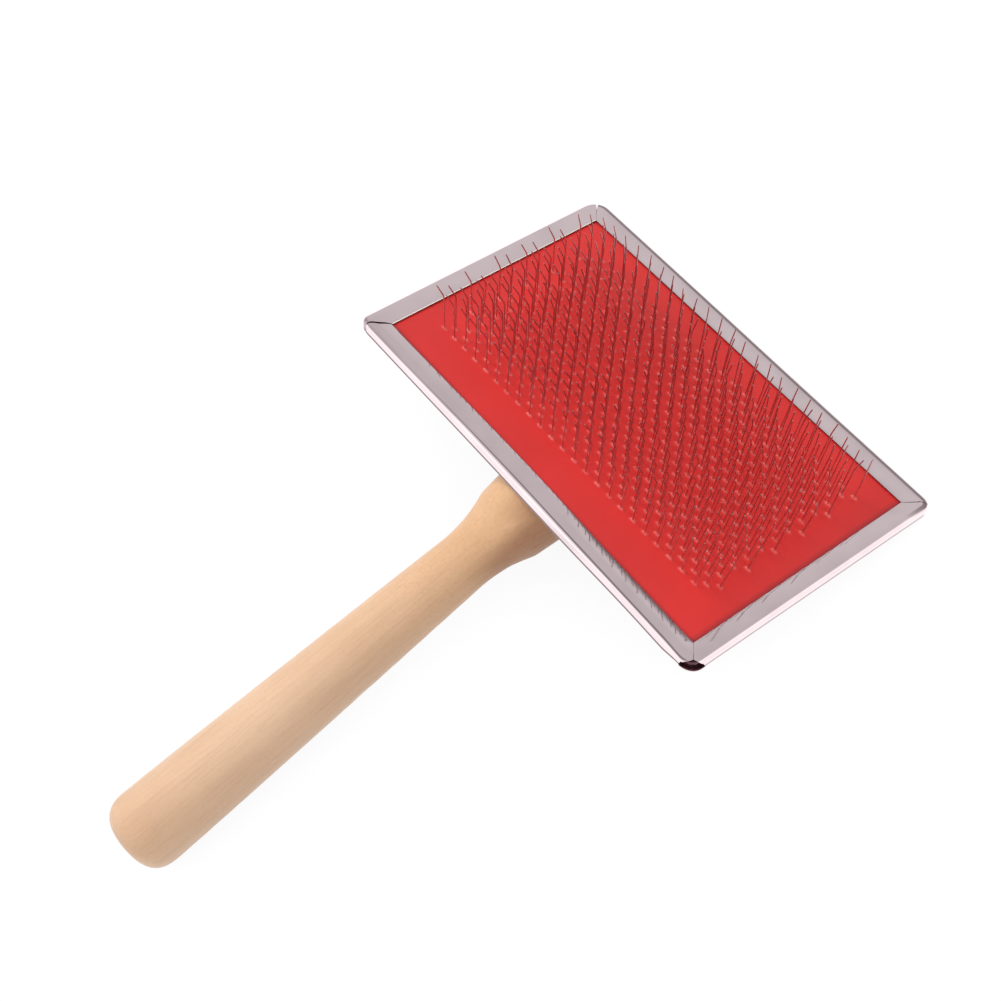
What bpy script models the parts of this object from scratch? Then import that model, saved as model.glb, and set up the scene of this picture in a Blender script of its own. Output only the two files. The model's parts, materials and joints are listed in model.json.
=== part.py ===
"""Slicker brush: a pressed tinplate head with a red rubber-faced pad, rows of
bent wire pins standing through the pad, and a turned wooden handle screwed to
the back of the head.

The brush is modelled in a head frame: X along the long side of the head, Y
away from the handle, Z out of the pad the way the pins point, with the origin
in the middle of the open window at the level of the rim's outer face.
An empty carries that frame to the table: the brush lies pins up on Z = 0, on
the far edge of the head and the butt of the handle.
"""

import math

import bmesh
import bpy
from mathutils import Matrix, Vector

MM = 0.001

# ---- head pan (pressed tinplate) ----
WINDOW_X = 110.0 * MM          # open window between the folded rims
WINDOW_Y = 64.9 * MM
RIM_WIDTH = 5.2 * MM           # width of each folded rim, to the outer wall
PAN_DEPTH = 4.0 * MM           # from the rim's outer face to the back
SHEET = 0.35 * MM              # tinplate thickness
PAN_CORNER_R = 5.0 * MM        # corner radius seen from above
RIM_BEND_R = 0.7 * MM          # outer bend between wall and rim
BACK_BEND_R = 0.9 * MM         # outer bend between wall and back
BEND_SEGMENTS = 2
PAN_SHARP_ANGLE = math.radians(30)
OUTER_X = WINDOW_X + 2 * RIM_WIDTH
OUTER_Y = WINDOW_Y + 2 * RIM_WIDTH
INNER_X = OUTER_X - 2 * SHEET
INNER_Y = OUTER_Y - 2 * SHEET

# open seam between neighbouring rims at each corner of the window
MITRE_GAP = 0.3 * MM
MITRE_CUT_LENGTH = 6.4 * MM
MITRE_CUT_HEIGHT = 1.2 * MM
MITRE_CUT_OUT = 2.8 * MM       # from the window's corner to the cut's centre
MITRE_CUT_Z = -0.2 * MM        # level of the cut's centre

# V-shaped notch in the wall of each corner, point upwards
NOTCH_HALF = 2.9 * MM          # half width at its floor
NOTCH_FLOOR = 2.9 * MM         # depth of the floor below the rim's outer face
NOTCH_POINT_Z = 0.35 * MM      # height of the point above that face
NOTCH_CUT_LENGTH = 3.6 * MM    # along the corner's diagonal

# ---- pad layers ----
LAYER_SIDE_GAP = 0.35 * MM     # between the layers and the pan's walls
LAYER_X = INNER_X - 2 * LAYER_SIDE_GAP
LAYER_Y = INNER_Y - 2 * LAYER_SIDE_GAP
LAYER_R = PAN_CORNER_R - SHEET - LAYER_SIDE_GAP
RUBBER_TOP = 0.45 * MM         # depth of each face below the rim's outer face
RUBBER_THICK = 1.0 * MM
CLOTH_TOP = 1.55 * MM
CLOTH_THICK = 0.5 * MM
FELT_TOP = 2.20 * MM
FELT_THICK = 1.30 * MM
SLOT_WIDTH = 0.95 * MM         # opening for one row of pins
SLOT_END = 0.8 * MM            # past the last pin of a row
SLOT_CUT_HEIGHT = 4.0 * MM
SLOT_CUT_Z = -1.2 * MM         # level of the cut's centre

# ---- pins ----
ROWS = 23
PINS_PER_ROW = 24
ROW_PITCH = 2.13 * MM          # between rows, across the head
PIN_PITCH = 4.05 * MM          # along a row; every other row is half a pitch on
ROW_LENGTH = (PINS_PER_ROW - 1) * PIN_PITCH
FIRST_ROW_Y = -22.5 * MM
FIRST_PIN_X = -47.0 * MM
WIRE = 0.40 * MM               # wire thickness
PIN_KNEE = 10.2 * MM           # height of the bend above the rim's outer face
PIN_TIP = 15.3 * MM            # height of the tip
PIN_TIP_BACK = 2.2 * MM        # how far the tip leans back, towards the handle
SPLAY_AT = -FIRST_PIN_X
SPLAY = math.radians(4.7)      # outward lean of the legs at SPLAY_AT
PIVOT_DEPTH = 0.95 * MM        # level of the rocking axis, in the rubber
CROWN_TOP = 1.60 * MM          # staple crowns, under the rubber
CROWN_BOTTOM = 2.05 * MM

# ---- handle (turned wood) ----
HANDLE_PITCH = math.radians(20.8)              # below the plane of the head
HANDLE_POINT = (0.0, -32.9 * MM, -13.87 * MM)  # a point on its axis, head frame
HANDLE_POINT_AT = 119.0 * MM                   # its distance from the butt
# places are measured along the axis from the butt end
BUTT_FLAT_R = 3.4 * MM         # flat middle of the butt
BUTT_ROUND = 7.0 * MM          # length of the rounded-over butt
BUTT_CURVE = 2.5               # exponent of the rounding; 2 is an ellipse
BUTT_CROWDING = 1.5            # exponent that crowds stations towards the butt
BUTT_R = 9.68 * MM             # thickest part of the grip
NECK_AT = 99.5 * MM
NECK_R = 7.05 * MM
TAPER_BELLY = 1.15             # 1 is a straight taper from butt to neck
SHOULDER_AT = 113.6 * MM       # crisp edge where the cove ends
SHOULDER_R = 9.68 * MM
SWELL_AT = 139.0 * MM          # thickest part under the head
SWELL_R = 11.4 * MM
NOSE_AT = 156.4 * MM           # end of the wood, under the head
NOSE_R = 2.4 * MM
HANDLE_STEPS = 24
SEAT_GAP = 0.15 * MM           # between the pan's back and the handle's flat
SEAT_CUT = (40 * MM, 80 * MM, 30 * MM)

# ---- screws ----
SCREW_Y = {"near": -26.0 * MM, "far": -11.0 * MM}
SCREW_HEAD_R = 3.2 * MM
SCREW_HEAD_H = 1.05 * MM
SCREW_R = 1.35 * MM
SCREW_POINT_R = 0.15 * MM
SCREW_TAPER = 2.2 * MM         # length of the pointed end
SCREW_LENGTH = 10.5 * MM       # below the head
SCREW_NECK = 0.02 * MM         # slope between the shank and the head's underside
SCREW_GAP = 0.10 * MM          # under the head
SCREW_STEPS = 12
PILOT_R = 1.60 * MM            # hole in the wood
PILOT_EXTRA = 0.2 * MM         # deeper than SCREW_LENGTH below the pan's back
PILOT_RISE = 2.0 * MM          # the cut's reach above the pan's back
PAN_HOLE_R = 1.75 * MM
PAN_HOLE_REACH = 1.0 * MM      # the cut's reach either side of the pan's back
FELT_HOLE_R = 4.2 * MM
FELT_HOLE_DOWN = 3.0 * MM      # the cut's reach below and above the felt's top
FELT_HOLE_UP = 1.0 * MM


# ------------------------------------------------------------ scene helpers
for old in list(bpy.data.objects):
    bpy.data.objects.remove(old, do_unlink=True)

parts = bpy.data.collections.new("slicker_brush")
cutters = bpy.data.collections.new("cutters")
bpy.context.scene.collection.children.link(parts)
bpy.context.scene.collection.children.link(cutters)


def material(name, colour, roughness, metallic=0.0):
    mat = bpy.data.materials.new(name)
    mat.use_nodes = True
    inputs = mat.node_tree.nodes["Principled BSDF"].inputs
    inputs["Base Color"].default_value = (*colour, 1.0)
    inputs["Roughness"].default_value = roughness
    inputs["Metallic"].default_value = metallic
    return mat


def empty(name, parent=None, location=(0, 0, 0), rotation=(0, 0, 0)):
    obj = bpy.data.objects.new(name, None)
    parts.objects.link(obj)
    obj.parent = parent
    obj.location = location
    obj.rotation_euler = rotation
    return obj


def head_object(name, bm, collection):
    """An object with the bmesh as its mesh, parented to the head frame."""
    mesh = bpy.data.meshes.new(name)
    bm.to_mesh(mesh)
    bm.free()
    obj = bpy.data.objects.new(name, mesh)
    collection.objects.link(obj)
    obj.parent = head
    return obj


def piece(name, bm, mat, location=(0, 0, 0), rotation=(0, 0, 0)):
    """A visible piece of the brush."""
    obj = head_object(name, bm, parts)
    obj.location = location
    obj.rotation_euler = rotation
    obj.data.materials.append(mat)
    return obj


def cutter(name, bm):
    """A helper solid that is only subtracted from pieces."""
    obj = head_object(name, bm, cutters)
    obj.hide_render = True
    obj.display_type = "WIRE"
    return obj


def cut(obj, tool, name):
    mod = obj.modifiers.new(name, "BOOLEAN")
    mod.operation = "DIFFERENCE"
    mod.solver = "EXACT"
    mod.object = tool


def add_box(bm, size, centre, turn=Matrix()):
    """Adds a box, optionally turned by a matrix about its centre."""
    placed = Matrix.Translation(centre) @ turn @ Matrix.Diagonal((*size, 1.0))
    bmesh.ops.create_cube(bm, size=1.0, matrix=placed)


def box(size, centre):
    bm = bmesh.new()
    add_box(bm, size, centre)
    return bm


def round_edges(bm, edges, radius, segments):
    bmesh.ops.bevel(bm, geom=edges, offset=radius, segments=segments,
                    profile=0.5, affect="EDGES")


def plate(size_x, size_y, bottom, top, corner_r, segments=5):
    """A flat plate with rounded corners."""
    bm = box((size_x, size_y, top - bottom), (0, 0, (top + bottom) / 2))
    upright = [
        edge for edge in bm.edges
        if abs(edge.verts[0].co.z - edge.verts[1].co.z) > (top - bottom) / 2
    ]
    round_edges(bm, upright, corner_r, segments)
    return bm


def round_rim(bm, level, radius):
    """Rounds the edges that run round a plate at one level."""
    ring = [
        edge for edge in bm.edges
        if all(abs(vert.co.z - level) < 1e-7 for vert in edge.verts)
        and len({round(face.normal.z, 3) for face in edge.link_faces}) > 1
    ]
    round_edges(bm, ring, radius, BEND_SEGMENTS)


def screw_cylinders(radius, bottom, top, segments):
    """An upright cylinder at each screw."""
    bm = bmesh.new()
    for y in SCREW_Y.values():
        bmesh.ops.create_cone(
            bm, cap_ends=True, segments=segments, radius1=radius, radius2=radius,
            depth=top - bottom,
            matrix=Matrix.Translation((0.0, y, (top + bottom) / 2)))
    return bm


def turned(name, profile, mat, location, rotation, steps):
    """A turned piece: (distance along local Z, radius) pairs spun about Z.

    The outline is drawn at +X and runs down, closed onto the axis at both ends.
    """
    outline = [(0.0, profile[-1][0])]
    outline += [(radius, along) for along, radius in reversed(profile)]
    outline += [(0.0, profile[0][0])]
    bm = bmesh.new()
    verts = [bm.verts.new((radius, 0.0, along)) for radius, along in outline]
    for pair in zip(verts, verts[1:]):
        bm.edges.new(pair)
    obj = piece(name, bm, mat, location, rotation)
    screw = obj.modifiers.new("turn", "SCREW")
    screw.axis = "Z"
    screw.angle = math.tau
    screw.steps = steps
    screw.render_steps = steps
    screw.use_merge_vertices = True
    screw.merge_threshold = 0.00001
    screw.use_smooth_shade = True
    return obj


# ------------------------------------------------------------ handle outline
def handle_profile():
    """The turned outline of the handle: (distance from the butt, radius) pairs."""
    pairs = []

    def section(start, end, count, radius, spacing=lambda u: u):
        """Adds stations from start up to end; u runs from 0 to 1 between them."""
        for i in range(count):
            u = spacing(i / count)
            pairs.append((start + u * (end - start), radius(u)))

    # rounded butt
    section(0.0, BUTT_ROUND, 5,
            lambda u: (BUTT_FLAT_R + (BUTT_R - BUTT_FLAT_R)
                       * math.sqrt(1 - (1 - u) ** BUTT_CURVE)),
            lambda u: u ** BUTT_CROWDING)
    # grip, tapering to the neck
    section(BUTT_ROUND, NECK_AT, 8,
            lambda u: BUTT_R + (NECK_R - BUTT_R) * u ** TAPER_BELLY)
    # cove
    section(NECK_AT, SHOULDER_AT, 5,
            lambda u: NECK_R + (SHOULDER_R - NECK_R) * u ** 2)
    # swell
    section(SHOULDER_AT, SWELL_AT, 4,
            lambda u: SHOULDER_R + (SWELL_R - SHOULDER_R) * math.sin(u * math.pi / 2))
    # nose
    section(SWELL_AT, NOSE_AT, 6,
            lambda u: NOSE_R + (SWELL_R - NOSE_R) * math.sqrt(1 - u * u),
            lambda u: math.sin(u * math.pi / 2))
    pairs.append((NOSE_AT, NOSE_R))
    return pairs


def handle_axis(distance):
    """A point of the handle's axis in the head frame, as (y, z)."""
    along = distance - HANDLE_POINT_AT
    return (HANDLE_POINT[1] + along * math.cos(HANDLE_PITCH),
            HANDLE_POINT[2] + along * math.sin(HANDLE_PITCH))


def handle_silhouette():
    """The handle's outline seen along X, in the head frame, as (y, z) points."""
    points = []
    for distance, radius in HANDLE_PROFILE:
        y, z = handle_axis(distance)
        for side in (-radius, radius):
            points.append((y - side * math.sin(HANDLE_PITCH),
                           z + side * math.cos(HANDLE_PITCH)))
    return points


HANDLE_PROFILE = handle_profile()
HANDLE_SILHOUETTE = handle_silhouette()


# ------------------------------------------------------------ resting pose
def tilted(y, z, tilt):
    """A (y, z) point turned about X."""
    return (y * math.cos(tilt) - z * math.sin(tilt),
            y * math.sin(tilt) + z * math.cos(tilt))


def pan_lowest(tilt):
    """Lowest height of the bend along the pan's far edge."""
    bend_y = OUTER_Y / 2 - BACK_BEND_R
    bend_z = -PAN_DEPTH + BACK_BEND_R
    return tilted(bend_y, bend_z, tilt)[1] - BACK_BEND_R


def handle_lowest(tilt):
    return min(tilted(y, z, tilt)[1] for y, z in HANDLE_SILHOUETTE)


def resting_tilt():
    """The tilt at which the far edge of the head and the butt share one level."""
    low, high = math.radians(-40), 0.0
    for _ in range(60):
        middle = (low + high) / 2
        if pan_lowest(middle) < handle_lowest(middle):
            low = middle
        else:
            high = middle
    return (low + high) / 2


def centre_y(tilt):
    """Middle of the tilted brush along Y, between the butt and the far rim."""
    far = tilted(OUTER_Y / 2 - RIM_BEND_R, -RIM_BEND_R, tilt)[0] + RIM_BEND_R
    near = min(tilted(y, z, tilt)[0] for y, z in HANDLE_SILHOUETTE)
    return (near + far) / 2


TILT = resting_tilt()
on_table = empty(
    "brush_on_table",
    location=(0.0, -centre_y(TILT), -pan_lowest(TILT)),
    rotation=(TILT, 0.0, 0.0))
head = empty("head_frame", parent=on_table)

# ------------------------------------------------------------ materials
tinplate = material("bright_tinplate", colour=(0.72, 0.70, 0.70), roughness=0.16, metallic=1.0)
rubber = material("red_rubber", colour=(0.66, 0.035, 0.03), roughness=0.42)
cloth = material("woven_backing", colour=(0.62, 0.55, 0.42), roughness=0.9)
felt = material("grey_felt", colour=(0.22, 0.20, 0.20), roughness=0.95)
wood = material("pale_beech", colour=(0.78, 0.55, 0.36), roughness=0.45)
wire = material("spring_wire", colour=(0.30, 0.29, 0.30), roughness=0.3, metallic=1.0)
zinc = material("zinc_plated_screw", colour=(0.62, 0.60, 0.55), roughness=0.35, metallic=1.0)


# ------------------------------------------------------------ head pan
def corner_diagonals(half_x, half_y):
    """For each corner: its point, its outward diagonal and the turn from X to it."""
    for side_x in (-1, 1):
        for side_y in (-1, 1):
            yield (Vector((side_x * half_x, side_y * half_y, 0)),
                   Vector((side_x, side_y, 0)).normalized(),
                   Matrix.Rotation(math.atan2(side_y, side_x), 4, "Z"))


def mitre_cuts():
    """Slits from the window's corners out through the rims."""
    bm = bmesh.new()
    for corner, diagonal, turn in corner_diagonals(WINDOW_X / 2, WINDOW_Y / 2):
        centre = corner + diagonal * MITRE_CUT_OUT
        centre.z = MITRE_CUT_Z
        add_box(bm, (MITRE_CUT_LENGTH, MITRE_GAP, MITRE_CUT_HEIGHT), centre, turn)
    return bm


def notch_cuts():
    """A three-sided prism lying along each corner's diagonal, below the mitre."""
    bm = bmesh.new()
    section = ((-NOTCH_HALF, -NOTCH_FLOOR), (NOTCH_HALF, -NOTCH_FLOOR), (0.0, NOTCH_POINT_Z))
    arc_centres = corner_diagonals(OUTER_X / 2 - PAN_CORNER_R, OUTER_Y / 2 - PAN_CORNER_R)
    for arc_centre, diagonal, turn in arc_centres:
        placed = Matrix.Translation(arc_centre + diagonal * PAN_CORNER_R) @ turn
        inner, outer = [
            [bm.verts.new(placed @ Vector((x, y, z))) for y, z in section]
            for x in (-NOTCH_CUT_LENGTH / 2, NOTCH_CUT_LENGTH / 2)
        ]
        bm.faces.new(inner)
        bm.faces.new(outer)
        for i in range(3):
            j = (i + 1) % 3
            bm.faces.new((inner[i], inner[j], outer[j], outer[i]))
    bmesh.ops.recalc_face_normals(bm, faces=bm.faces)
    return bm


def head_pan():
    bm = plate(OUTER_X, OUTER_Y, -PAN_DEPTH, 0.0, PAN_CORNER_R)
    round_rim(bm, 0.0, RIM_BEND_R)
    round_rim(bm, -PAN_DEPTH, BACK_BEND_R)
    pan = piece("head_pan", bm, tinplate)

    hollow = plate(INNER_X, INNER_Y, -PAN_DEPTH + SHEET, -SHEET, PAN_CORNER_R - SHEET)
    window = box((WINDOW_X, WINDOW_Y, 2 * MM), (0, 0, -0.6 * MM))
    holes = screw_cylinders(PAN_HOLE_R, -PAN_DEPTH - PAN_HOLE_REACH,
                            -PAN_DEPTH + PAN_HOLE_REACH, segments=20)
    cut(pan, cutter("pan_hollow", hollow), "hollow")
    cut(pan, cutter("pan_window", window), "window")
    cut(pan, cutter("mitre_seams", mitre_cuts()), "mitres")
    cut(pan, cutter("corner_notches", notch_cuts()), "notches")
    cut(pan, cutter("pan_screw_holes", holes), "screw_holes")
    pan.data.shade_smooth()
    pan.data.set_sharp_from_angle(angle=PAN_SHARP_ANGLE)


# ------------------------------------------------------------ pad layers
def row_y(row):
    return FIRST_ROW_Y + row * ROW_PITCH


def row_start(row):
    return FIRST_PIN_X + (PIN_PITCH / 2 if row % 2 else 0.0)


def slot_cuts():
    """One long slot for each row of pins."""
    bm = bmesh.new()
    for row in range(ROWS):
        add_box(bm, (ROW_LENGTH + 2 * SLOT_END, SLOT_WIDTH, SLOT_CUT_HEIGHT),
                (row_start(row) + ROW_LENGTH / 2, row_y(row), SLOT_CUT_Z))
    return bm


def pad_layer(name, top, thick, mat):
    return piece(name, plate(LAYER_X, LAYER_Y, -top - thick, -top, LAYER_R, segments=4), mat)


def pad():
    slots = cutter("row_slots", slot_cuts())
    rubber_face = pad_layer("rubber_pad_face", RUBBER_TOP, RUBBER_THICK, rubber)
    cut(rubber_face, slots, "row_slots")
    backing = pad_layer("woven_backing_cloth", CLOTH_TOP, CLOTH_THICK, cloth)
    cut(backing, slots, "row_slots")

    cushion = pad_layer("felt_cushion", FELT_TOP, FELT_THICK, felt)
    holes = screw_cylinders(FELT_HOLE_R, -FELT_TOP - FELT_HOLE_DOWN,
                            -FELT_TOP + FELT_HOLE_UP, segments=18)
    cut(cushion, cutter("felt_screw_holes", holes), "screw_holes")


# ------------------------------------------------------------ handle
def wooden_handle():
    # local +Z of the turned piece runs from the butt towards the head
    handle = turned("wooden_handle", HANDLE_PROFILE, wood, (0.0, *handle_axis(0.0)),
                    (HANDLE_PITCH - math.pi / 2, 0.0, 0.0), HANDLE_STEPS)
    seat = box(SEAT_CUT, (0, 0, -PAN_DEPTH - SEAT_GAP + SEAT_CUT[2] / 2))
    pilots = screw_cylinders(PILOT_R, -PAN_DEPTH - SCREW_LENGTH - PILOT_EXTRA,
                             -PAN_DEPTH + PILOT_RISE, segments=12)
    cut(handle, cutter("handle_seat", seat), "seat")
    cut(handle, cutter("pilot_holes", pilots), "pilot_holes")


# ------------------------------------------------------------ screws
def handle_screws():
    # (height above the head's underside, radius), from the point up
    profile = (
        (-SCREW_LENGTH, SCREW_POINT_R),
        (-SCREW_LENGTH + SCREW_TAPER, SCREW_R),
        (-SCREW_NECK, SCREW_R),
        (0.0, SCREW_HEAD_R),
        (0.45 * SCREW_HEAD_H, SCREW_HEAD_R),
        (0.8 * SCREW_HEAD_H, 0.8 * SCREW_HEAD_R),
        (SCREW_HEAD_H, 0.42 * SCREW_HEAD_R),
    )
    under_head = -PAN_DEPTH + SHEET + SCREW_GAP
    for label, y in SCREW_Y.items():
        turned("handle_screw_" + label, profile, zinc, (0.0, y, under_head),
               (0, 0, 0), SCREW_STEPS)


# ------------------------------------------------------------ pin rows
def add_crown(bm, start, top):
    """Adds the bar that joins the pins of a row, split across at each pin."""
    segments = 2 * PINS_PER_ROW - 1
    bmesh.ops.create_grid(bm, x_segments=segments, y_segments=1, size=0.5)
    for vert in bm.verts:
        # columns go in pairs, one on each side of a pin
        column = round((vert.co.x + 0.5) * segments)
        side = WIRE / 2 if column % 2 else -WIRE / 2
        vert.co = Vector((start + (column // 2) * PIN_PITCH + side,
                          math.copysign(WIRE / 2, vert.co.y), top))
    # the body hangs below the upper face
    down = bmesh.ops.extrude_face_region(bm, geom=list(bm.faces), use_keep_orig=True)
    bmesh.ops.translate(
        bm, vec=(0, 0, CROWN_TOP - CROWN_BOTTOM),
        verts=[item for item in down["geom"] if isinstance(item, bmesh.types.BMVert)])
    bmesh.ops.recalc_face_normals(bm, faces=bm.faces)


def splay_shift(x, rise):
    """How far a leg at x moves outwards over a rise."""
    return rise * math.tan(SPLAY * x / SPLAY_AT)


def draw_legs(bm, top):
    """Draws each foot up to the knee, leaning outwards, then to the tip."""
    feet = [face for face in bm.faces
            if face.normal.z > 0.9 and abs(face.calc_center_median().z - top) < 1e-6
            and abs(face.calc_area() - WIRE * WIRE) < 1e-9]
    legs = bmesh.ops.extrude_discrete_faces(bm, faces=feet)["faces"]
    rise = PIN_KNEE + CROWN_TOP
    for face in legs:
        shift = splay_shift(face.calc_center_median().x, rise)
        bmesh.ops.translate(bm, vec=(shift, 0, rise), verts=face.verts)
    tips = bmesh.ops.extrude_discrete_faces(bm, faces=legs)["faces"]
    rise = PIN_TIP - PIN_KNEE
    for face in list(tips):
        knee = face.calc_center_median()
        offset = Vector((splay_shift(knee.x, rise), -PIN_TIP_BACK, rise))
        bmesh.ops.pointmerge(bm, verts=face.verts, merge_co=knee + offset)


def merge_crown_flats(bm, top):
    """Makes the crown's long sides and its underside single faces."""
    flats = {face for face in bm.faces
             if face.normal.z < -0.99
             or (abs(face.normal.z) < 0.01 and abs(face.normal.y) > 0.99
                 and face.calc_center_median().z < top)}
    inner = {edge for face in flats for edge in face.edges
             if all(other in flats for other in edge.link_faces)
             and edge.link_faces[0].normal.dot(edge.link_faces[1].normal) > 0.999}
    bmesh.ops.dissolve_edges(bm, edges=list(inner), use_verts=True)
    bmesh.ops.recalc_face_normals(bm, faces=bm.faces)


def pin_row(row):
    """One row of bent wires standing on their crown, with its origin on the
    axis that the row rocks about."""
    crown_top = PIVOT_DEPTH - CROWN_TOP
    bm = bmesh.new()
    add_crown(bm, row_start(row), crown_top)
    draw_legs(bm, crown_top)
    merge_crown_flats(bm, crown_top)
    piece(f"pin_row_{row + 1:02d}", bm, wire, (0.0, row_y(row), -PIVOT_DEPTH))


head_pan()
pad()
wooden_handle()
handle_screws()
for row in range(ROWS):
    pin_row(row)
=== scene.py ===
"""Looks for a slicker brush: a sheet metal head full of bent wires on a turned handle.

The head is worked in its own frame: x along the wire rows (world X), y from the
first row to the last, z out of the face along the wires, with the rim near z = 0.
The handle's frame starts at the butt, with z running towards the head.
Shapes are in millimetres; materials, lights and the camera are in metres.
"""

import json
import math
import random
from collections import namedtuple

import bmesh
import bpy
import numpy as np
from mathutils import Matrix, Vector

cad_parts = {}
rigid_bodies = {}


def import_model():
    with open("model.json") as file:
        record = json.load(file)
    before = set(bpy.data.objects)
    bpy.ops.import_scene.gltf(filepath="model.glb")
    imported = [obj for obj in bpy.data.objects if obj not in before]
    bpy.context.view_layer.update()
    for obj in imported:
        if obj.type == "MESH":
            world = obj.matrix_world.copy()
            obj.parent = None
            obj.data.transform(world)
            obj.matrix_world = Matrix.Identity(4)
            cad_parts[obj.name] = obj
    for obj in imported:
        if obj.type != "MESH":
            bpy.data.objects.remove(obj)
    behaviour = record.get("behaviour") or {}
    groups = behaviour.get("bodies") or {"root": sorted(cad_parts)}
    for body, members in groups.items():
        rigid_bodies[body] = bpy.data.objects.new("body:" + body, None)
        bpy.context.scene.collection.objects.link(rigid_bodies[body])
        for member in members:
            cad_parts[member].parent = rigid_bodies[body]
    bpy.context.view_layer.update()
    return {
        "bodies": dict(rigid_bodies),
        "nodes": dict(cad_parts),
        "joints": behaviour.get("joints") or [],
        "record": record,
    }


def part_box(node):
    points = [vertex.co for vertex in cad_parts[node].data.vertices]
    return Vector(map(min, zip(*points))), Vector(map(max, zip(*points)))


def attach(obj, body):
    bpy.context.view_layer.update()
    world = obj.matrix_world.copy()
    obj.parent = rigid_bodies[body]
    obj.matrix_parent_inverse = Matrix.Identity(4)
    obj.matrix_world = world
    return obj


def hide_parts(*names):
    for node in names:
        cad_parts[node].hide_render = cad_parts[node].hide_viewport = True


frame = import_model()

MM = 0.001
ROOT = "head_and_handle"
ROWS = sorted(name for name in frame["bodies"] if name.startswith("row_"))

# ---------------------------------------------------------------- wire lattice
PIVOT_Z = -0.95         # height of the rows' rocking axes
ROW_PITCH = 2.13
FIRST_ROW_Y = -22.5
PIN_PITCH = 4.11
FIRST_PIN_X = -47.0
PINS = 24               # places in a row
ODD_SHIFT = 1.80        # every second row is shifted this far along x
# first and last filled place, in a cycle of four rows
FILLED = ((0, 22), (0, 22), (1, 23), (1, 22))


# ---------------------------------------------------------------- frames
def axes_matrix(x_axis, y_axis, z_axis, origin):
    return Matrix([(x_axis[i], y_axis[i], z_axis[i], origin[i]) for i in range(3)]
                  + [(0, 0, 0, 1)])


joint_places = {j["child"]: Vector(j["pos_m"]) for j in frame["joints"]}
HEAD_X = Vector((1, 0, 0))
HEAD_Y = (joint_places[ROWS[-1]] - joint_places[ROWS[0]]).normalized()
HEAD_Z = HEAD_X.cross(HEAD_Y).normalized()
HEAD_ORIGIN = joint_places[ROWS[0]] - HEAD_Y * FIRST_ROW_Y * MM - HEAD_Z * PIVOT_Z * MM
HEAD = axes_matrix(HEAD_X, HEAD_Y, HEAD_Z, HEAD_ORIGIN)

butt_mount = {m["name"]: m for m in frame["record"]["mounts"]}["handle_butt"]
handle_x = Vector((1, 0, 0))
handle_z = -Vector(butt_mount["axis"]).normalized()
HANDLE = axes_matrix(handle_x, handle_z.cross(handle_x).normalized(), handle_z,
                     Vector(butt_mount["pos_m"]))


# ---------------------------------------------------------------- mesh helpers
def new_object(name, verts, faces, matrix, materials, sharp=None):
    """A smooth mesh from points in millimetres; edges over `sharp` degrees stay crisp."""
    mesh = bpy.data.meshes.new(name)
    mesh.from_pydata([tuple(c * MM for c in v) for v in verts], [], faces)
    mesh.validate()
    for material in materials:
        mesh.materials.append(material)
    ob = bpy.data.objects.new(name, mesh)
    bpy.context.scene.collection.objects.link(ob)
    ob.matrix_world = matrix
    mesh.shade_smooth()
    if sharp:
        mesh.set_sharp_from_angle(angle=math.radians(sharp))
    return ob


def fix_normals(ob):
    bm = bmesh.new()
    bm.from_mesh(ob.data)
    bmesh.ops.recalc_face_normals(bm, faces=bm.faces)
    bm.to_mesh(ob.data)
    bm.free()


def point_attribute(ob, name, values):
    attribute = ob.data.attributes.new(name, "FLOAT", "POINT")
    attribute.data.foreach_set("value", np.asarray(values, np.float32))


def register(ob, body, slot, *cad_nodes):
    """Tells the frame what the object rides on and what it replaces. The slot argument is not
    used.
    """
    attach(ob, body)
    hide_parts(*cad_nodes)


def lathe_faces(rings, around):
    """Faces of stacked rings; the two cap centres follow the last ring's points."""
    faces = []
    for i in range(rings - 1):
        low, high = i * around, (i + 1) * around
        for k in range(around):
            k2 = (k + 1) % around
            faces.append((low + k, low + k2, high + k2, high + k))
    centre, top = rings * around, (rings - 1) * around
    for k in range(around):
        k2 = (k + 1) % around
        faces.append((centre, k2, k))
        faces.append((centre + 1, top + k, top + k2))
    return faces


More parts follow.
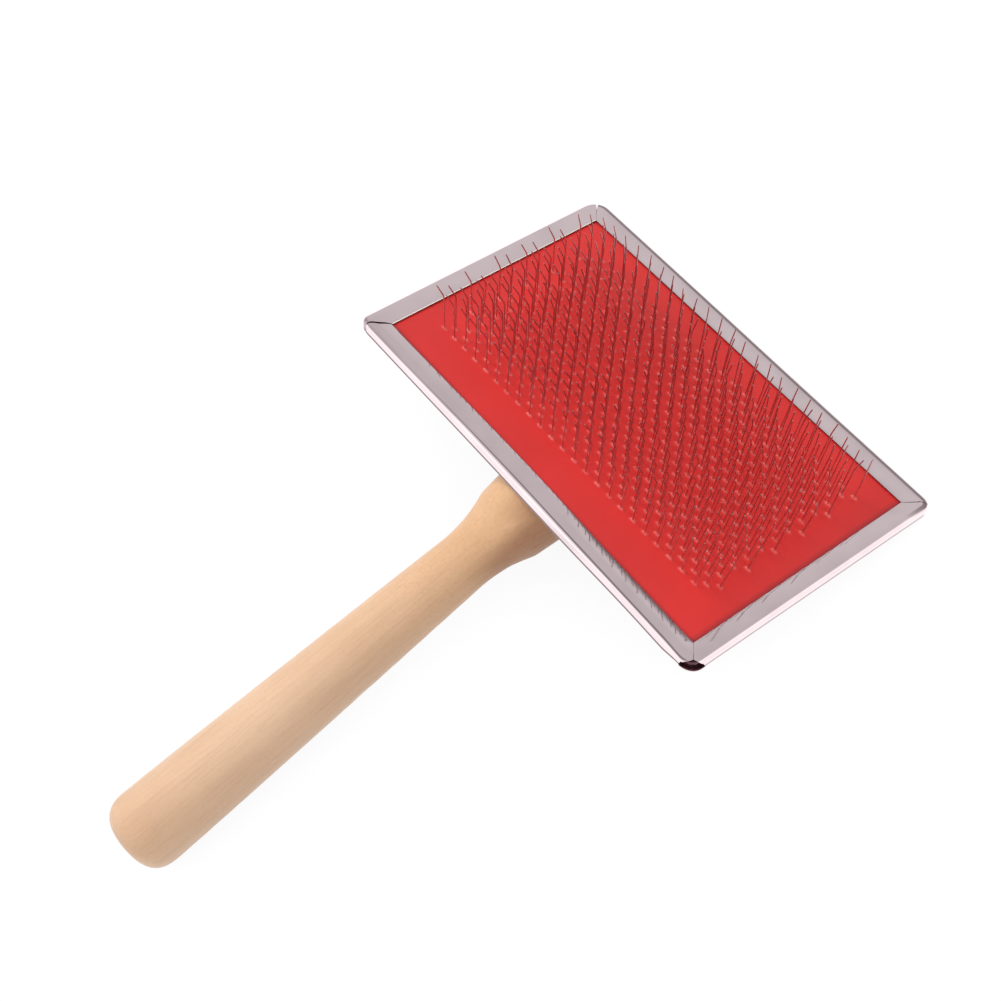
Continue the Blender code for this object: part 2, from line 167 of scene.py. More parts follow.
# ---------------------------------------------------------------- node helpers
class Nodes:
    """Short hand for building node trees. Colours are given without alpha."""

    def __init__(self, tree):
        self.tree = tree

    def feed(self, node, inputs):
        """Links or sets a node's inputs, given by name or number."""
        for key, value in inputs.items():
            socket = node.inputs[key]
            if isinstance(value, bpy.types.NodeSocket):
                self.tree.links.new(value, socket)
            elif socket.type == "RGBA":
                socket.default_value = (*value, 1)
            else:
                socket.default_value = value

    def new(self, kind, inputs=None, **properties):
        node = self.tree.nodes.new("ShaderNode" + kind)
        for key, value in properties.items():
            setattr(node, key, value)
        self.feed(node, inputs or {})
        return node

    def principled(self, inputs):
        self.feed(self.tree.nodes["Principled BSDF"], inputs)

    def output(self, shader):
        self.feed(self.tree.nodes["Material Output"], {"Surface": shader})

    def cover(self, share, colour):
        """Lays a matt colour over the principled shader."""
        matt = self.new("BsdfDiffuse", {"Color": colour})
        shader = self.tree.nodes["Principled BSDF"].outputs[0]
        mixed = self.new("MixShader", {0: share, 1: shader, 2: matt.outputs[0]})
        self.output(mixed.outputs[0])

    def math(self, operation, first, second):
        return self.new("Math", {0: first, 1: second}, operation=operation).outputs[0]

    def times(self, first, second):
        return self.math("MULTIPLY", first, second)

    def plus(self, first, second):
        return self.math("ADD", first, second)

    def mix(self, base, colour, share, blend="MIX"):
        node = self.new("Mix", data_type="RGBA", blend_type=blend)
        self.feed(node, {0: share, 6: base, 7: colour})
        return node.outputs[2]

    def ramp(self, value, span, to=(0.0, 1.0), smooth=True):
        """Maps the span of values onto the range `to`, clamped."""
        return self.new("MapRange", {0: value, 1: span[0], 2: span[1], 3: to[0], 4: to[1]},
                        interpolation_type="SMOOTHSTEP" if smooth else "LINEAR").outputs[0]

    def coords(self, scale=(1, 1, 1)):
        place = self.new("TexCoord").outputs["Object"]
        return self.new("Mapping", {0: place, "Scale": scale}).outputs[0]

    def noise(self, vector, scale=1.0, detail=3.0, roughness=0.55, distortion=0.0):
        return self.new("TexNoise", {"Vector": vector, "Scale": scale, "Detail": detail,
                                     "Roughness": roughness,
                                     "Distortion": distortion}).outputs[0]

    def voronoi(self, vector, scale=1.0):
        return self.new("TexVoronoi", {"Vector": vector, "Scale": scale}).outputs["Distance"]

    def bump(self, height, strength, distance, under=None):
        inputs = {"Strength": strength, "Distance": distance, "Height": height}
        if under is not None:
            inputs["Normal"] = under
        return self.new("Bump", inputs).outputs[0]

    def attribute(self, name):
        return self.new("Attribute", attribute_name=name).outputs["Fac"]


def new_material(name):
    material = bpy.data.materials.new(name)
    material.use_nodes = True
    return material, Nodes(material.node_tree)


# ---------------------------------------------------------------- materials
def make_tin(name, colour, roughness, metallic=1.0):
    """Rolled tinplate: faint rolling lines, specks and dull patches, with painted dark shade where
    the foot attribute is set.
    """
    material, n = new_material(name)

    def tinted(red, green, blue):
        return colour[0] * red, colour[1] * green, colour[2] * blue

    place = n.coords()
    patch = n.noise(place, scale=90, detail=3)
    rolling = n.noise(n.coords((40, 1500, 1500)), detail=4, roughness=0.6)
    speck = n.ramp(n.voronoi(place, scale=900), span=(0.03, 0.10), to=(1.0, 0.0))
    speckled = n.ramp(n.noise(place, scale=260, detail=2), span=(0.60, 0.72))
    painted_shade = n.attribute("foot")

    shade = n.mix(colour, tinted(0.94, 0.93, 0.94), share=n.ramp(patch, span=(0.35, 0.7)))
    shade = n.mix(shade, tinted(0.55, 0.5, 0.5), share=n.times(speck, n.times(speckled, 0.25)))
    # painted shade: where the foot attribute is set, the tin is darkened and covered with a dull
    # dark colour, as if it mirrored the shaded floor
    shade = n.mix(shade, tinted(0.30, 0.26, 0.28), share=painted_shade)
    n.cover(share=n.times(painted_shade, 0.75), colour=(0.20, 0.155, 0.165))
    rough = n.plus(
        n.ramp(rolling, span=(0.3, 0.75), to=(roughness * 0.75, roughness * 1.35)),
        n.ramp(patch, span=(0.45, 0.75), to=(0.0, 0.05)))
    lines = n.bump(rolling, strength=0.05, distance=0.00002)
    n.principled({"Base Color": shade, "Metallic": metallic, "Roughness": rough,
                  "Normal": n.bump(patch, strength=0.05, distance=0.0002, under=lines)})
    return material


def make_rubber():
    material, n = new_material("red_rubber_sheet")
    place = n.coords()
    broad = n.noise(place, scale=28, detail=2, roughness=0.5)
    grain = n.noise(place, scale=2600, detail=3, roughness=0.6)
    dust = n.voronoi(place, scale=420)
    base = n.mix((0.545, 0.018, 0.016), (0.63, 0.023, 0.020),
                 share=n.ramp(broad, span=(0.3, 0.7)))
    # painted light: the red is lighter among the wires, making up for the shade they cast, less so
    # over the far rows
    base = n.mix(base, (0.715, 0.021, 0.018), share=n.attribute("painted_pin_field_light"))
    base = n.mix(base, (0.80, 0.20, 0.17), share=n.ramp(dust, span=(0.02, 0.05), to=(0.35, 0.0)))
    # painted highlight: the lips round the wires are painted a lighter pink
    base = n.mix(base, (0.92, 0.22, 0.20), share=n.times(n.attribute("lip"), 0.80))
    # painted shade: near black under the rim's edge and down the sheet's sides
    base = n.mix(base, (0.075, 0.012, 0.024), share=n.attribute("painted_rim_shade"))
    fine = n.bump(grain, strength=0.10, distance=0.00003)
    n.principled({
        "Base Color": base,
        "Roughness": n.ramp(n.noise(place, scale=60, detail=3), span=(0.3, 0.7), to=(0.36, 0.50)),
        "Specular IOR Level": 0.45,
        "Subsurface Weight": 0.04,
        "Subsurface Radius": (0.0012, 0.0003, 0.0002),
        "Normal": n.bump(broad, strength=0.25, distance=0.0006, under=fine)})
    return material


def make_wire():
    material, n = new_material("drawn_spring_wire")
    streak = n.noise(n.coords((3000, 3000, 220)), detail=3)
    tint = n.noise(n.coords(), scale=240, detail=2)
    n.principled({
        "Base Color": n.mix((0.70, 0.46, 0.46), (0.53, 0.34, 0.35),
                            share=n.ramp(tint, span=(0.35, 0.7))),
        "Metallic": 1.0,
        "Roughness": n.ramp(streak, span=(0.3, 0.7), to=(0.24, 0.42)),
        "Normal": n.bump(streak, strength=0.08, distance=0.00002)})
    # painted shade: in reflections the pins are covered with near black, as if seen from their
    # shaded side
    mirrored = n.new("LightPath").outputs["Is Glossy Ray"]
    n.cover(share=n.times(mirrored, 0.72), colour=(0.045, 0.032, 0.036))
    return material


def make_wood():
    """Sanded beech under thin lacquer: long fibres, short dark flecks, soft bands."""
    material, n = new_material("turned_beech")
    place = n.coords()
    split = n.new("SeparateXYZ", {0: place})
    across, along = split.outputs[0], split.outputs[2]
    fibre = n.noise(n.coords((1500, 1500, 55)), detail=4, roughness=0.6, distortion=0.3)
    band = n.noise(n.coords((70, 70, 9)), detail=2, roughness=0.5, distortion=0.6)
    blotch = n.noise(place, scale=34, detail=3, roughness=0.5)
    fleck = n.voronoi(n.coords((1100, 1100, 190)))
    pore = n.noise(n.coords((4200, 4200, 260)), detail=2)
    pit = n.voronoi(place, scale=1500)
    peel = n.noise(place, scale=1250, detail=3, roughness=0.62)

    # grain
    tone = n.plus(n.times(band, 0.45), n.times(blotch, 0.55))
    base = n.mix((0.690, 0.466, 0.306), (0.625, 0.400, 0.250),
                 share=n.ramp(tone, span=(0.36, 0.64)))
    base = n.mix(base, (0.47, 0.295, 0.185),
                 share=n.ramp(fibre, span=(0.40, 0.72), to=(0.0, 0.24)))
    base = n.mix(base, (0.40, 0.23, 0.14),
                 share=n.ramp(fleck, span=(0.04, 0.16), to=(0.22, 0.0)))
    base = n.mix(base, (0.34, 0.20, 0.12),
                 share=n.ramp(pore, span=(0.64, 0.74), to=(0.0, 0.18)))

    # golden towards the head, and a painted shadow of the head on its +x side there
    base = n.mix(base, (1.0, 0.91, 0.76), share=n.ramp(along, span=(0.055, 0.120)),
                 blend="MULTIPLY")
    neck_side = n.times(n.ramp(along, span=(0.094, 0.108)), n.ramp(across, span=(0.0035, 0.0080)))
    head_side = n.times(n.ramp(along, span=(0.110, 0.122)), n.ramp(across, span=(-0.0030, 0.0060)))
    painted_head_shadow = n.times(n.math("MAXIMUM", neck_side, head_side),
                        n.ramp(blotch, span=(0.25, 0.70), to=(0.75, 1.0)))
    base = n.mix(base, (0.54, 0.43, 0.39), share=painted_head_shadow, blend="MULTIPLY")

    # mottling, strongest at the neck, then pits and marks
    neck = n.times(n.ramp(along, span=(0.060, 0.098)),
                   n.ramp(along, span=(0.112, 0.124), to=(1.0, 0.45)))
    mottle = n.times(n.ramp(peel, span=(0.46, 0.66)), n.plus(0.07, n.times(neck, 0.13)))
    base = n.mix(base, (0.44, 0.26, 0.15), share=mottle)
    base = n.mix(base, (0.42, 0.27, 0.17), share=n.ramp(pit, span=(0.08, 0.26), to=(0.16, 0.0)))
    base = n.mix(base, (0.93, 0.80, 0.66), share=n.times(n.attribute("pale"), 0.65))
    base = n.mix(base, (0.33, 0.17, 0.10), share=n.times(n.attribute("mark"), 0.70))

    relief = n.bump(fibre, strength=0.16, distance=0.00005)
    relief = n.bump(pore, strength=0.10, distance=0.00004, under=relief)
    relief = n.bump(peel, strength=0.20, distance=0.00008, under=relief)
    relief = n.bump(n.noise(place, scale=900, detail=3, roughness=0.6),
                    strength=0.22, distance=0.00006, under=relief)
    n.principled({
        "Base Color": base,
        "Roughness": n.ramp(fibre, span=(0.3, 0.75), to=(0.40, 0.56)),
        "Specular IOR Level": 0.42,
        "Coat Weight": 0.10,
        "Coat Roughness": 0.32,
        "Normal": relief})
    return material


def make_cloth():
    material, n = new_material("plain_weave_cotton")
    place = n.coords()
    threads = n.new("TexWave", {"Scale": 330, "Vector": place}).outputs["Fac"]
    fuzz = n.noise(place, scale=1500, detail=3)
    base = n.mix((0.50, 0.43, 0.31), (0.68, 0.60, 0.46), share=threads)
    base = n.mix(base, (0.40, 0.33, 0.23), share=n.ramp(fuzz, span=(0.3, 0.7), to=(0, 0.4)))
    n.principled({"Base Color": base, "Roughness": 0.92, "Sheen Weight": 0.25,
                  "Normal": n.bump(fuzz, strength=0.4, distance=0.0001)})
    return material


def make_felt():
    material, n = new_material("matted_felt")
    hair = n.noise(n.coords((1800, 600, 1800)), detail=5, roughness=0.7, distortion=1.2)
    tone = n.noise(n.coords(), scale=160, detail=3)
    base = n.mix((0.13, 0.10, 0.10), (0.22, 0.18, 0.18), share=n.ramp(tone, span=(0.3, 0.7)))
    base = n.mix(base, (0.36, 0.30, 0.30), share=n.ramp(hair, span=(0.5, 0.7), to=(0, 0.5)))
    n.principled({"Base Color": base, "Roughness": 0.97, "Sheen Weight": 0.4,
                  "Normal": n.bump(hair, strength=0.6, distance=0.0002)})
    return material


def make_zinc():
    material, n = new_material("zinc_plating")
    cloud = n.noise(n.coords(), scale=500, detail=4)
    n.principled({
        "Base Color": n.mix((0.66, 0.63, 0.56), (0.52, 0.50, 0.46),
                            share=n.ramp(cloud, span=(0.3, 0.7))),
        "Metallic": 1.0,
        "Roughness": n.ramp(cloud, span=(0.3, 0.7), to=(0.28, 0.46)),
        "Normal": n.bump(cloud, strength=0.1, distance=0.00005)})
    return material


tin = make_tin("bright_tinplate_sheet", colour=(0.84, 0.715, 0.735), roughness=0.065)
tin_edge = make_tin("tinplate_cut_edge", colour=(0.84, 0.74, 0.68), roughness=0.5,
                    metallic=0.15)
# painted shade: a dark maroon tin for the pan's inside, the strip ends and the open +x -y corner,
# where shade falls
tin_shade_inside = make_tin("tinplate_painted_shade_inside", colour=(0.27, 0.11, 0.145), roughness=0.42)
rubber = make_rubber()
wire = make_wire()
wood = make_wood()
cloth = make_cloth()
felt = make_felt()
zinc = make_zinc()

# ---------------------------------------------------------------- sheet metal head
WIN_X, WIN_Y = 55.0, 32.45      # half sizes of the window
RIM = {"-x": 6.0, "+x": 4.6, "-y": 5.0, "+y": 5.65}     # width of the rim
OUT = {"-x": -WIN_X - RIM["-x"], "+x": WIN_X + RIM["+x"],
       "-y": -WIN_Y - RIM["-y"], "+y": WIN_Y + RIM["+y"]}   # outer walls
DEPTH = 4.0
SHEET = 0.35            # sheet thickness
BEND = 1.15             # outer radius of the bend from rim to wall
BACK_BEND = 0.9         # outer radius of the bend from wall to back
WALL_END = -(DEPTH - BACK_BEND)
FLAT_ROWS, BEND_STEPS, BACK_STEPS = 10, 7, 6
ARC_STEPS = 16          # steps round a corner, even so that one falls on the diagonal
TAIL = 4                # a side's path runs on this far past its corners
END_COLUMNS, MIDDLE_COLUMNS = 14, 60
WIDTH = 2 * END_COLUMNS + MIDDLE_COLUMNS + 1
END_ZONE = 8.0          # length of the finer columns at each end
END_CROWDING = 1.1      # how much they crowd towards the strip's end
BRIDGE_STEP = 0.30      # spacing of the points that bridge an open corner
BRIGHT, EDGE, PAINTED_SHADE_SLOT = 0, 1, 2      # material slots of the pan

# (name, outward, along), running anticlockwise seen from the pins
SIDES = [("-y", (0, -1), (1, 0)), ("+x", (1, 0), (0, 1)),
         ("+y", (0, 1), (-1, 0)), ("-x", (-1, 0), (0, -1))]
# stage 0 is the window's edge, 1 the rim's outer edge, 1.5 the bend's foot and
# 2 the wall's foot
STAGES = (0.0, 0.25, 0.55, 0.8, 1.0, 1.25, 1.5, 2.0)
# (side before, side after): corner radius, then how far the end of each side's
# strip stops short of the corner's diagonal at the stages above
CORNERS = {
    ("-y", "+x"): (4.0, (0.04, -0.15, -0.35, -0.36, -0.42, 1.22, 2.34, 2.64),
                   (0.04, 0.22, 0.42, 0.46, 0.50, 1.98, 3.14, 4.19)),
    ("+x", "+y"): (2.6, (0.03, 0.02, -0.16, -0.20, 0.02, 0.05, 0.05, 0.05),
                   (0.05, 0.13, 0.36, 0.42, 0.12, 0.05, 0.05, 0.05)),
    ("+y", "-x"): (4.7, (0.03, 0.03, 0.04, 0.06, 0.22, 0.60, 0.85, 1.10),
                   (0.03, 0.03, 0.04, 0.06, 0.22, 0.60, 0.85, 1.10)),
    ("-x", "-y"): (1.9, (0.02, -0.05, -0.62, -0.98, -1.20, -1.60, -1.85, -1.90),
                   (0.03, 0.47, 1.14, 1.27, 1.36, 1.80, 2.06, 2.38)),
}
# rows down the wall: (share of its height, depth of the groove)
WALL_GROOVE = ((0.35, 0.0), (0.70, 0.0), (0.80, 0.0), (0.84, 0.17),
               (0.93, 0.19), (0.97, 0.03), (1.0, 0.0))
# painted dark shade on the wall, standing in for the shaded floor it mirrors: shares of its
# height, then strength at each
WALL_PAINTED_SHADE = {
    "-y": ((0.70, 0.80, 0.84, 0.97, 1.0), (0.0, 0.58, 0.82, 0.82, 0.65)),
    "+x": ((0.56, 0.68, 0.79, 0.93, 0.97, 1.0), (0.0, 0.40, 0.74, 0.74, 0.25, 0.0)),
    "+y": ((0.70, 0.84, 0.93, 1.0), (0.0, 0.8, 0.8, 0.2)),
    "-x": ((0.70, 0.84, 0.93, 1.0), (0.0, 0.8, 0.8, 0.2)),
}
# painted dark shade on the first layers of the back below the -y wall
BACK_PAINTED_SHADE = (0.85, 0.75, 0.55, 0.3)     # on the first layers below the -y wall
# ripple along a rim: (height, waves, multiple of the side's phase)
RIPPLES = ((0.010, 5.1, 1), (0.005, 13.7, 2), (0.0025, 31.0, 3))
RIPPLE_PHASE = {"-y": 1.3, "+x": 2.1, "+y": 0.4, "-x": 3.3}
# the open +x -y corner is drawn up: centre, reach, height, depth of full effect
LIFT_X, LIFT_Y, LIFT_REACH, LIFT, LIFT_DEPTH = 55.8, -37.45, 6.0, 0.95, 3.0

# A flat row's amount is its share of the way from the window to the bend;
# any other row's amount is its inset from the outer wall.
ProfileRow = namedtuple("ProfileRow", "flat amount z stage")


def clamp(value, low=0.0):
    return min(1.0, max(low, value))


# strength of the painted dark shade on the outer skin, by side, stage and column
def painted_shade_strength(side, stage, column):
    strength = 0.0
    if stage > 1.5:
        strength = float(np.interp((stage - 1.5) * 2, *WALL_PAINTED_SHADE[side]))
    if side == "+y" and 0.97 < stage < 1.5:
        strength = 0.55
    if side == "-x" and column >= WIDTH - 4 and stage > 1.12:
        strength = max(strength, 0.42)
    if side == "+x" and column > WIDTH - 13 and 0.97 < stage < 1.22:
        strength = max(strength, 0.95 * (column - WIDTH + 13) / 12)
    return strength


def profile_rows(inner):
    """Rows from the window's edge to the foot of the wall."""
    rows = []
    inset = SHEET if inner else 0.0
    if not inner:
        # the cut edge is rolled over a little
        for degrees in (12, 38, 64):
            sine = math.sin(math.radians(degrees))
            rows.append(ProfileRow(True, -0.056 * sine, -0.16 * (1 - sine) - 0.02, 0.0))
    for i in range(FLAT_ROWS):
        share = i / (FLAT_ROWS - 1)
        rows.append(ProfileRow(True, share, -inset, share))
    radius = BEND - inset
    for i in range(1, BEND_STEPS + 1):
        angle = math.pi / 2 * i / BEND_STEPS
        rows.append(ProfileRow(False, inset + radius * (1 - math.sin(angle)),
                               -inset - radius * (1 - math.cos(angle)),
                               1 + 0.5 * i / BEND_STEPS))
    for share, groove in WALL_GROOVE:
        rows.append(ProfileRow(False, inset + (0.0 if inner else groove),
                               -BEND + (WALL_END + BEND) * share, 1.5 + 0.5 * share))
    return rows


def minus_y_crown(s):
    """Arch, rise at the window and outer roll of the -y rim's crown at s (-1..1)."""
    left = clamp((-0.30 - s) / 0.45)
    right = clamp((s - 0.14) / 0.25)
    return (0.04 * left + 0.155 * right, 0.07 * (1 - right) - 0.125 * right,
            0.26 * left + 0.06 * right)


def crown(side, u, s):
    """Height of the rim's slight crown: u across from the window, s along the side."""
    bulge = 1 - (2 * u - 1) ** 2
    if side == "-y":
        arch, window_rise, roll = minus_y_crown(s)
        return arch * bulge + window_rise * (1 - u) - roll * max(0.0, (u - 0.50) / 0.50) ** 2
    if side == "+x":
        return 0.05 * bulge - 0.12 * (1 - u)
    return 0.030 * bulge


def outer_slope(side, s):
    """How steeply a rim already falls where its bend begins."""
    if side != "-y":
        return 0.0
    arch, window_rise, roll = minus_y_crown(s)
    return max(0.0, (4 * arch + 4 * roll + window_rise) / (RIM[side] - BEND))


def bow(side, s):
    """Sideways wander of a rim, outwards positive."""
    if side == "-y":
        return (0.78 * max(0.0, -s - 0.35) - 0.28 * math.exp(-(s / 0.36) ** 2)
                + 0.06 * max(0.0, s))
    if side == "+y":
        return -0.12 * math.exp(-((s + 0.25) / 0.4) ** 2)
    return 0.0


def ripple(side, s):
    return sum(height * math.sin(waves * s + multiple * RIPPLE_PHASE[side])
               for height, waves, multiple in RIPPLES)


def unevenness(row, side, s):
    """Rise and outward shift of a profile row at s along its side."""
    if row.flat:
        return ripple(side, s) + crown(side, row.amount, s), bow(side, s)
    fade = max(0.0, 1 + row.z / BEND)
    rise = (ripple(side, s) + crown(side, 1.0, s)) * fade
    shift = bow(side, s) * (0.35 + 0.65 * fade)
    if side == "-y":
        shift -= 0.36 * math.exp(-((s - 0.66) / 0.30) ** 2) * (1 - fade)
    slope = outer_slope(side, s)
    if slope > 0:
        # the bend carries on from the rim's slope without a crease
        lean = math.atan(slope)
        x = max(0.0, BEND - row.amount)
        if x < BEND * math.sin(lean):
            rise += -slope * x + (BEND - math.sqrt(max(0.0, BEND * BEND - x * x)))
        else:
            rise -= BEND * (1 / math.cos(lean) - 1) * fade
    return rise, shift


def corner_turn(end, edge, wall, other, own, radius):
    """(along, outward) points round a corner and on, and which one is on its diagonal.

    `end` is the side's end (-1 or 1), `edge` the next side's wall, and `other` and
    `own` are the row's insets from that wall and from this side's.
    """
    radius_along, radius_out = radius - other, radius - own
    if radius_along <= 1e-6 or radius_out <= 1e-6:
        t, d = edge - end * other, wall - own
        return [(t, d), (t, d - TAIL)], 0
    centre_along, centre_out = edge - end * radius, wall - radius
    points = []
    for k in range(ARC_STEPS + 1):
        angle = math.pi / 2 * k / ARC_STEPS
        points.append((centre_along + end * radius_along * math.sin(angle),
                       centre_out + radius_out * math.cos(angle)))
    points.append((points[-1][0], points[-1][1] - TAIL))
    return points, ARC_STEPS // 2


def column_places(cut_start, start, end, cut_end):
    """Distances of the columns along a row, finer towards both ends."""
    crowding = [(k / END_COLUMNS) ** END_CROWDING for k in range(END_COLUMNS)]
    places = [cut_start + (start + END_ZONE - cut_start) * c for c in crowding]
    places += [start + END_ZONE + (end - start - 2 * END_ZONE) * k / MIDDLE_COLUMNS
               for k in range(MIDDLE_COLUMNS + 1)]
    places += [cut_end - (cut_end - (end - END_ZONE)) * c for c in reversed(crowding)]
    return places


def side_row(index, row):
    """Points of one profile row of one side, cut at both ends."""
    name, outward, along = SIDES[index]
    before, after = SIDES[index - 1][0], SIDES[(index + 1) % 4][0]
    start_radius, _, start_cut = CORNERS[(before, name)]
    end_radius, end_cut, _ = CORNERS[(name, after)]

    def inset(side):
        if row.flat:
            return BEND + (RIM[side] - BEND) * (1 - row.amount)
        return row.amount

    wall, lo, hi = abs(OUT[name]), -abs(OUT[before]), abs(OUT[after])
    first, first_mid = corner_turn(-1, lo, wall, inset(before), inset(name), start_radius)
    last, last_mid = corner_turn(1, hi, wall, inset(after), inset(name), end_radius)
    path = first[::-1] + last
    run = [0.0]
    for k in range(len(path) - 1):
        run.append(run[-1] + math.dist(path[k], path[k + 1]))
    start = run[len(first) - 1 - first_mid]
    end = run[len(first) + last_mid]

    points = []
    for place in column_places(start + float(np.interp(row.stage, STAGES, start_cut)), start,
                               end, end - float(np.interp(row.stage, STAGES, end_cut))):
        seg = 0
        while seg < len(run) - 2 and run[seg + 1] < place:
            seg += 1
        part = (place - run[seg]) / max(run[seg + 1] - run[seg], 1e-9)
        t = path[seg][0] + (path[seg + 1][0] - path[seg][0]) * part
        d = path[seg][1] + (path[seg + 1][1] - path[seg][1]) * part
        s = clamp(2 * (t - lo) / (hi - lo) - 1, low=-1.0)
        rise, shift = unevenness(row, name, s)
        # the unevenness dies away towards the corners
        calm = clamp(min(place - start, end - place) / 3.0)
        if name == "-y" and s < 0:
            calm = max(calm, 0.75)
        d += shift * calm
        rise *= 0.35 + 0.65 * calm
        points.append((along[0] * t + outward[0] * d, along[1] * t + outward[1] * d,
                       row.z + rise))
    return points


def corner_of(x, y):
    """Centre, radius and signs of the rounded corner a point belongs to."""
    x_side, y_side = ("+x" if x > 0 else "-x"), ("+y" if y > 0 else "-y")
    key = (x_side, y_side) if (x_side, y_side) in CORNERS else (y_side, x_side)
    radius = CORNERS[key][0]
    sx, sy = (1 if x > 0 else -1), (1 if y > 0 else -1)
    return OUT[x_side] - sx * radius, OUT[y_side] - sy * radius, radius, sx, sy


def pull(x, y, amount):
    """Moves a point of the outline inwards, keeping the corners from crossing."""
    cx, cy, radius, sx, sy = corner_of(x, y)
    dx, dy = (x - cx) * sx, (y - cy) * sy
    over = max(0.0, amount - radius + 0.05)
    if dx > 0 and dy > 0:
        r = math.hypot(dx, dy)
        f = max(0.05, r - amount) / r if over == 0 else 0.05 / r
        return cx + sx * (dx * f - over), cy + sy * (dy * f - over)
    if dx >= dy:
        return x - sx * amount, cy + sy * min(dy, -over)
    return cx + sx * min(dx, -over), y - sy * amount


class PanMesh:
    """Points, faces, material slots and painted shade strength of the pan."""

    def __init__(self):
        self.verts, self.faces, self.slots, self.painted_shade = [], [], [], {}

    def point(self, place):
        self.verts.append(tuple(place))
        return len(self.verts) - 1

    def face(self, corners, slot, flip=False):
        self.faces.append(corners[::-1] if flip else corners)
        self.slots.append(slot)


def add_strips(pan, inner):
    """Rim, bend and wall of the four sides; returns the points by place, and the rows."""
    rows = profile_rows(inner)
    grid = {}
    for index in range(4):
        for i, row in enumerate(rows):
            for k, place in enumerate(side_row(index, row)):
                point = grid[(index, i, k)] = pan.point(place)
                if not inner and row.stage > 0.97:
                    pan.painted_shade[point] = painted_shade_strength(SIDES[index][0], row.stage, k)
    for index in range(4):
        for i in range(len(rows) - 1):
            rolled = i < 3 and SIDES[index][0] == "-x"
            slot = PAINTED_SHADE_SLOT if inner else EDGE if rolled else BRIGHT
            for k in range(WIDTH - 1):
                pan.face((grid[(index, i, k)], grid[(index, i + 1, k)],
                          grid[(index, i + 1, k + 1)], grid[(index, i, k + 1)]), slot, inner)
    return grid, len(rows)


def add_foot_ring(pan, shell, outer_shell, inset):
    """Closed ring at the wall's foot, and which of its steps bridge an open corner."""
    def gap(grid, rows, index):
        return (Vector(pan.verts[grid[(index, rows - 1, WIDTH - 1)]]),
                Vector(pan.verts[grid[((index + 1) % 4, rows - 1, 0)]]))

    grid, rows = shell
    ring, bridged = [], []
    for index in range(4):
        ring += [grid[(index, rows - 1, k)] for k in range(WIDTH)]
        bridged += [False] * (WIDTH - 1) + [True]
        a, b = gap(grid, rows, index)
        outer_a, outer_b = gap(*outer_shell, index)
        steps = max(1, int((outer_a - outer_b).length / BRIDGE_STEP))
        cx, cy, radius, sx, sy = corner_of(*((outer_a + outer_b) / 2)[:2])
        for j in range(1, steps):
            q = a.lerp(b, j / steps)
            dx, dy = (q.x - cx) * sx, (q.y - cy) * sy
            if dx > 0 and dy > 0:
                r = math.hypot(dx, dy)
                q.x = cx + sx * dx / r * (radius - inset)
                q.y = cy + sy * dy / r * (radius - inset)
            elif dx > dy:
                q.x = cx + sx * (radius - inset)
            else:
                q.y = cy + sy * (radius - inset)
            ring.append(pan.point(q))
            bridged.append(True)
    return ring, bridged


def add_back(pan, ring, bridged, inner):
    """Bend below the wall, and the back of the pan."""
    radius = BACK_BEND - (SHEET if inner else 0.0)
    back_z = WALL_END - radius
    # (how far inwards, height)
    layers = []
    for k in range(1, BACK_STEPS + 1):
        angle = math.pi / 2 * k / BACK_STEPS
        layers.append((radius * (1 - math.cos(angle)), WALL_END - radius * math.sin(angle)))
    layers += [(radius + 1.2, back_z), (radius + 1.7, back_z + 0.06),
               (radius + 6.0, back_z + 0.06)]
    outline = [pan.verts[i][:2] for i in ring]
    previous = ring
    for j, (amount, z) in enumerate(layers):
        row = []
        for x, y in outline:
            row.append(pan.point((*pull(x, y, amount), z)))
            if j < len(BACK_PAINTED_SHADE) and y < OUT["-y"] + 3 and x < OUT["+x"] - 5:
                pan.painted_shade[row[-1]] = BACK_PAINTED_SHADE[j]
        for k in range(len(ring)):
            k2 = (k + 1) % len(ring)
            x, y = outline[k]
            # the outer bend at the open +x -y corner takes the dark painted shade as well
            open_corner = bridged[k] and j < 5 and x > 50 and y < 0
            pan.face((previous[k], row[k], row[k2], previous[k2]),
                     PAINTED_SHADE_SLOT if inner or open_corner else BRIGHT, inner)
        previous = row
    centre = pan.point(((OUT["-x"] + OUT["+x"]) / 2, (OUT["-y"] + OUT["+y"]) / 2,
                        back_z + 0.06))
    for k in range(len(previous)):
        pan.face((previous[k], centre, previous[(k + 1) % len(previous)]),
                 PAINTED_SHADE_SLOT if inner else BRIGHT, inner)


def add_cut_edges(pan, outer_shell, inner_shell, outer_ring, inner_ring, bridged):
    """Joins both skins at the window, the strip ends and the bridged corners."""
    (outer, outer_rows), (inner, inner_rows) = outer_shell, inner_shell
    extra = outer_rows - inner_rows
    for index in range(4):
        for k in range(WIDTH - 1):
            pan.face((outer[(index, 0, k)], outer[(index, 0, k + 1)],
                      inner[(index, 0, k + 1)], inner[(index, 0, k)]), EDGE)
        for i in range(outer_rows - 1):
            for k in (0, WIDTH - 1):
                a, b = outer[(index, i, k)], outer[(index, i + 1, k)]
                if i < extra:
                    corners = (a, inner[(index, 0, k)], b)
                else:
                    corners = (a, inner[(index, i - extra, k)],
                               inner[(index, i + 1 - extra, k)], b)
                pan.face(corners, PAINTED_SHADE_SLOT, flip=k > 0)
    for k in range(len(outer_ring)):
        if bridged[k]:
            k2 = (k + 1) % len(outer_ring)
            pan.face((outer_ring[k], outer_ring[k2], inner_ring[k2], inner_ring[k]), PAINTED_SHADE_SLOT)


def lifted(x, y, z):
    near = max(0.0, 1 - math.hypot(x - LIFT_X, y - LIFT_Y) / LIFT_REACH)
    near = near * near * (3 - 2 * near)
    return x, y, z + LIFT * near * clamp(-z / LIFT_DEPTH)


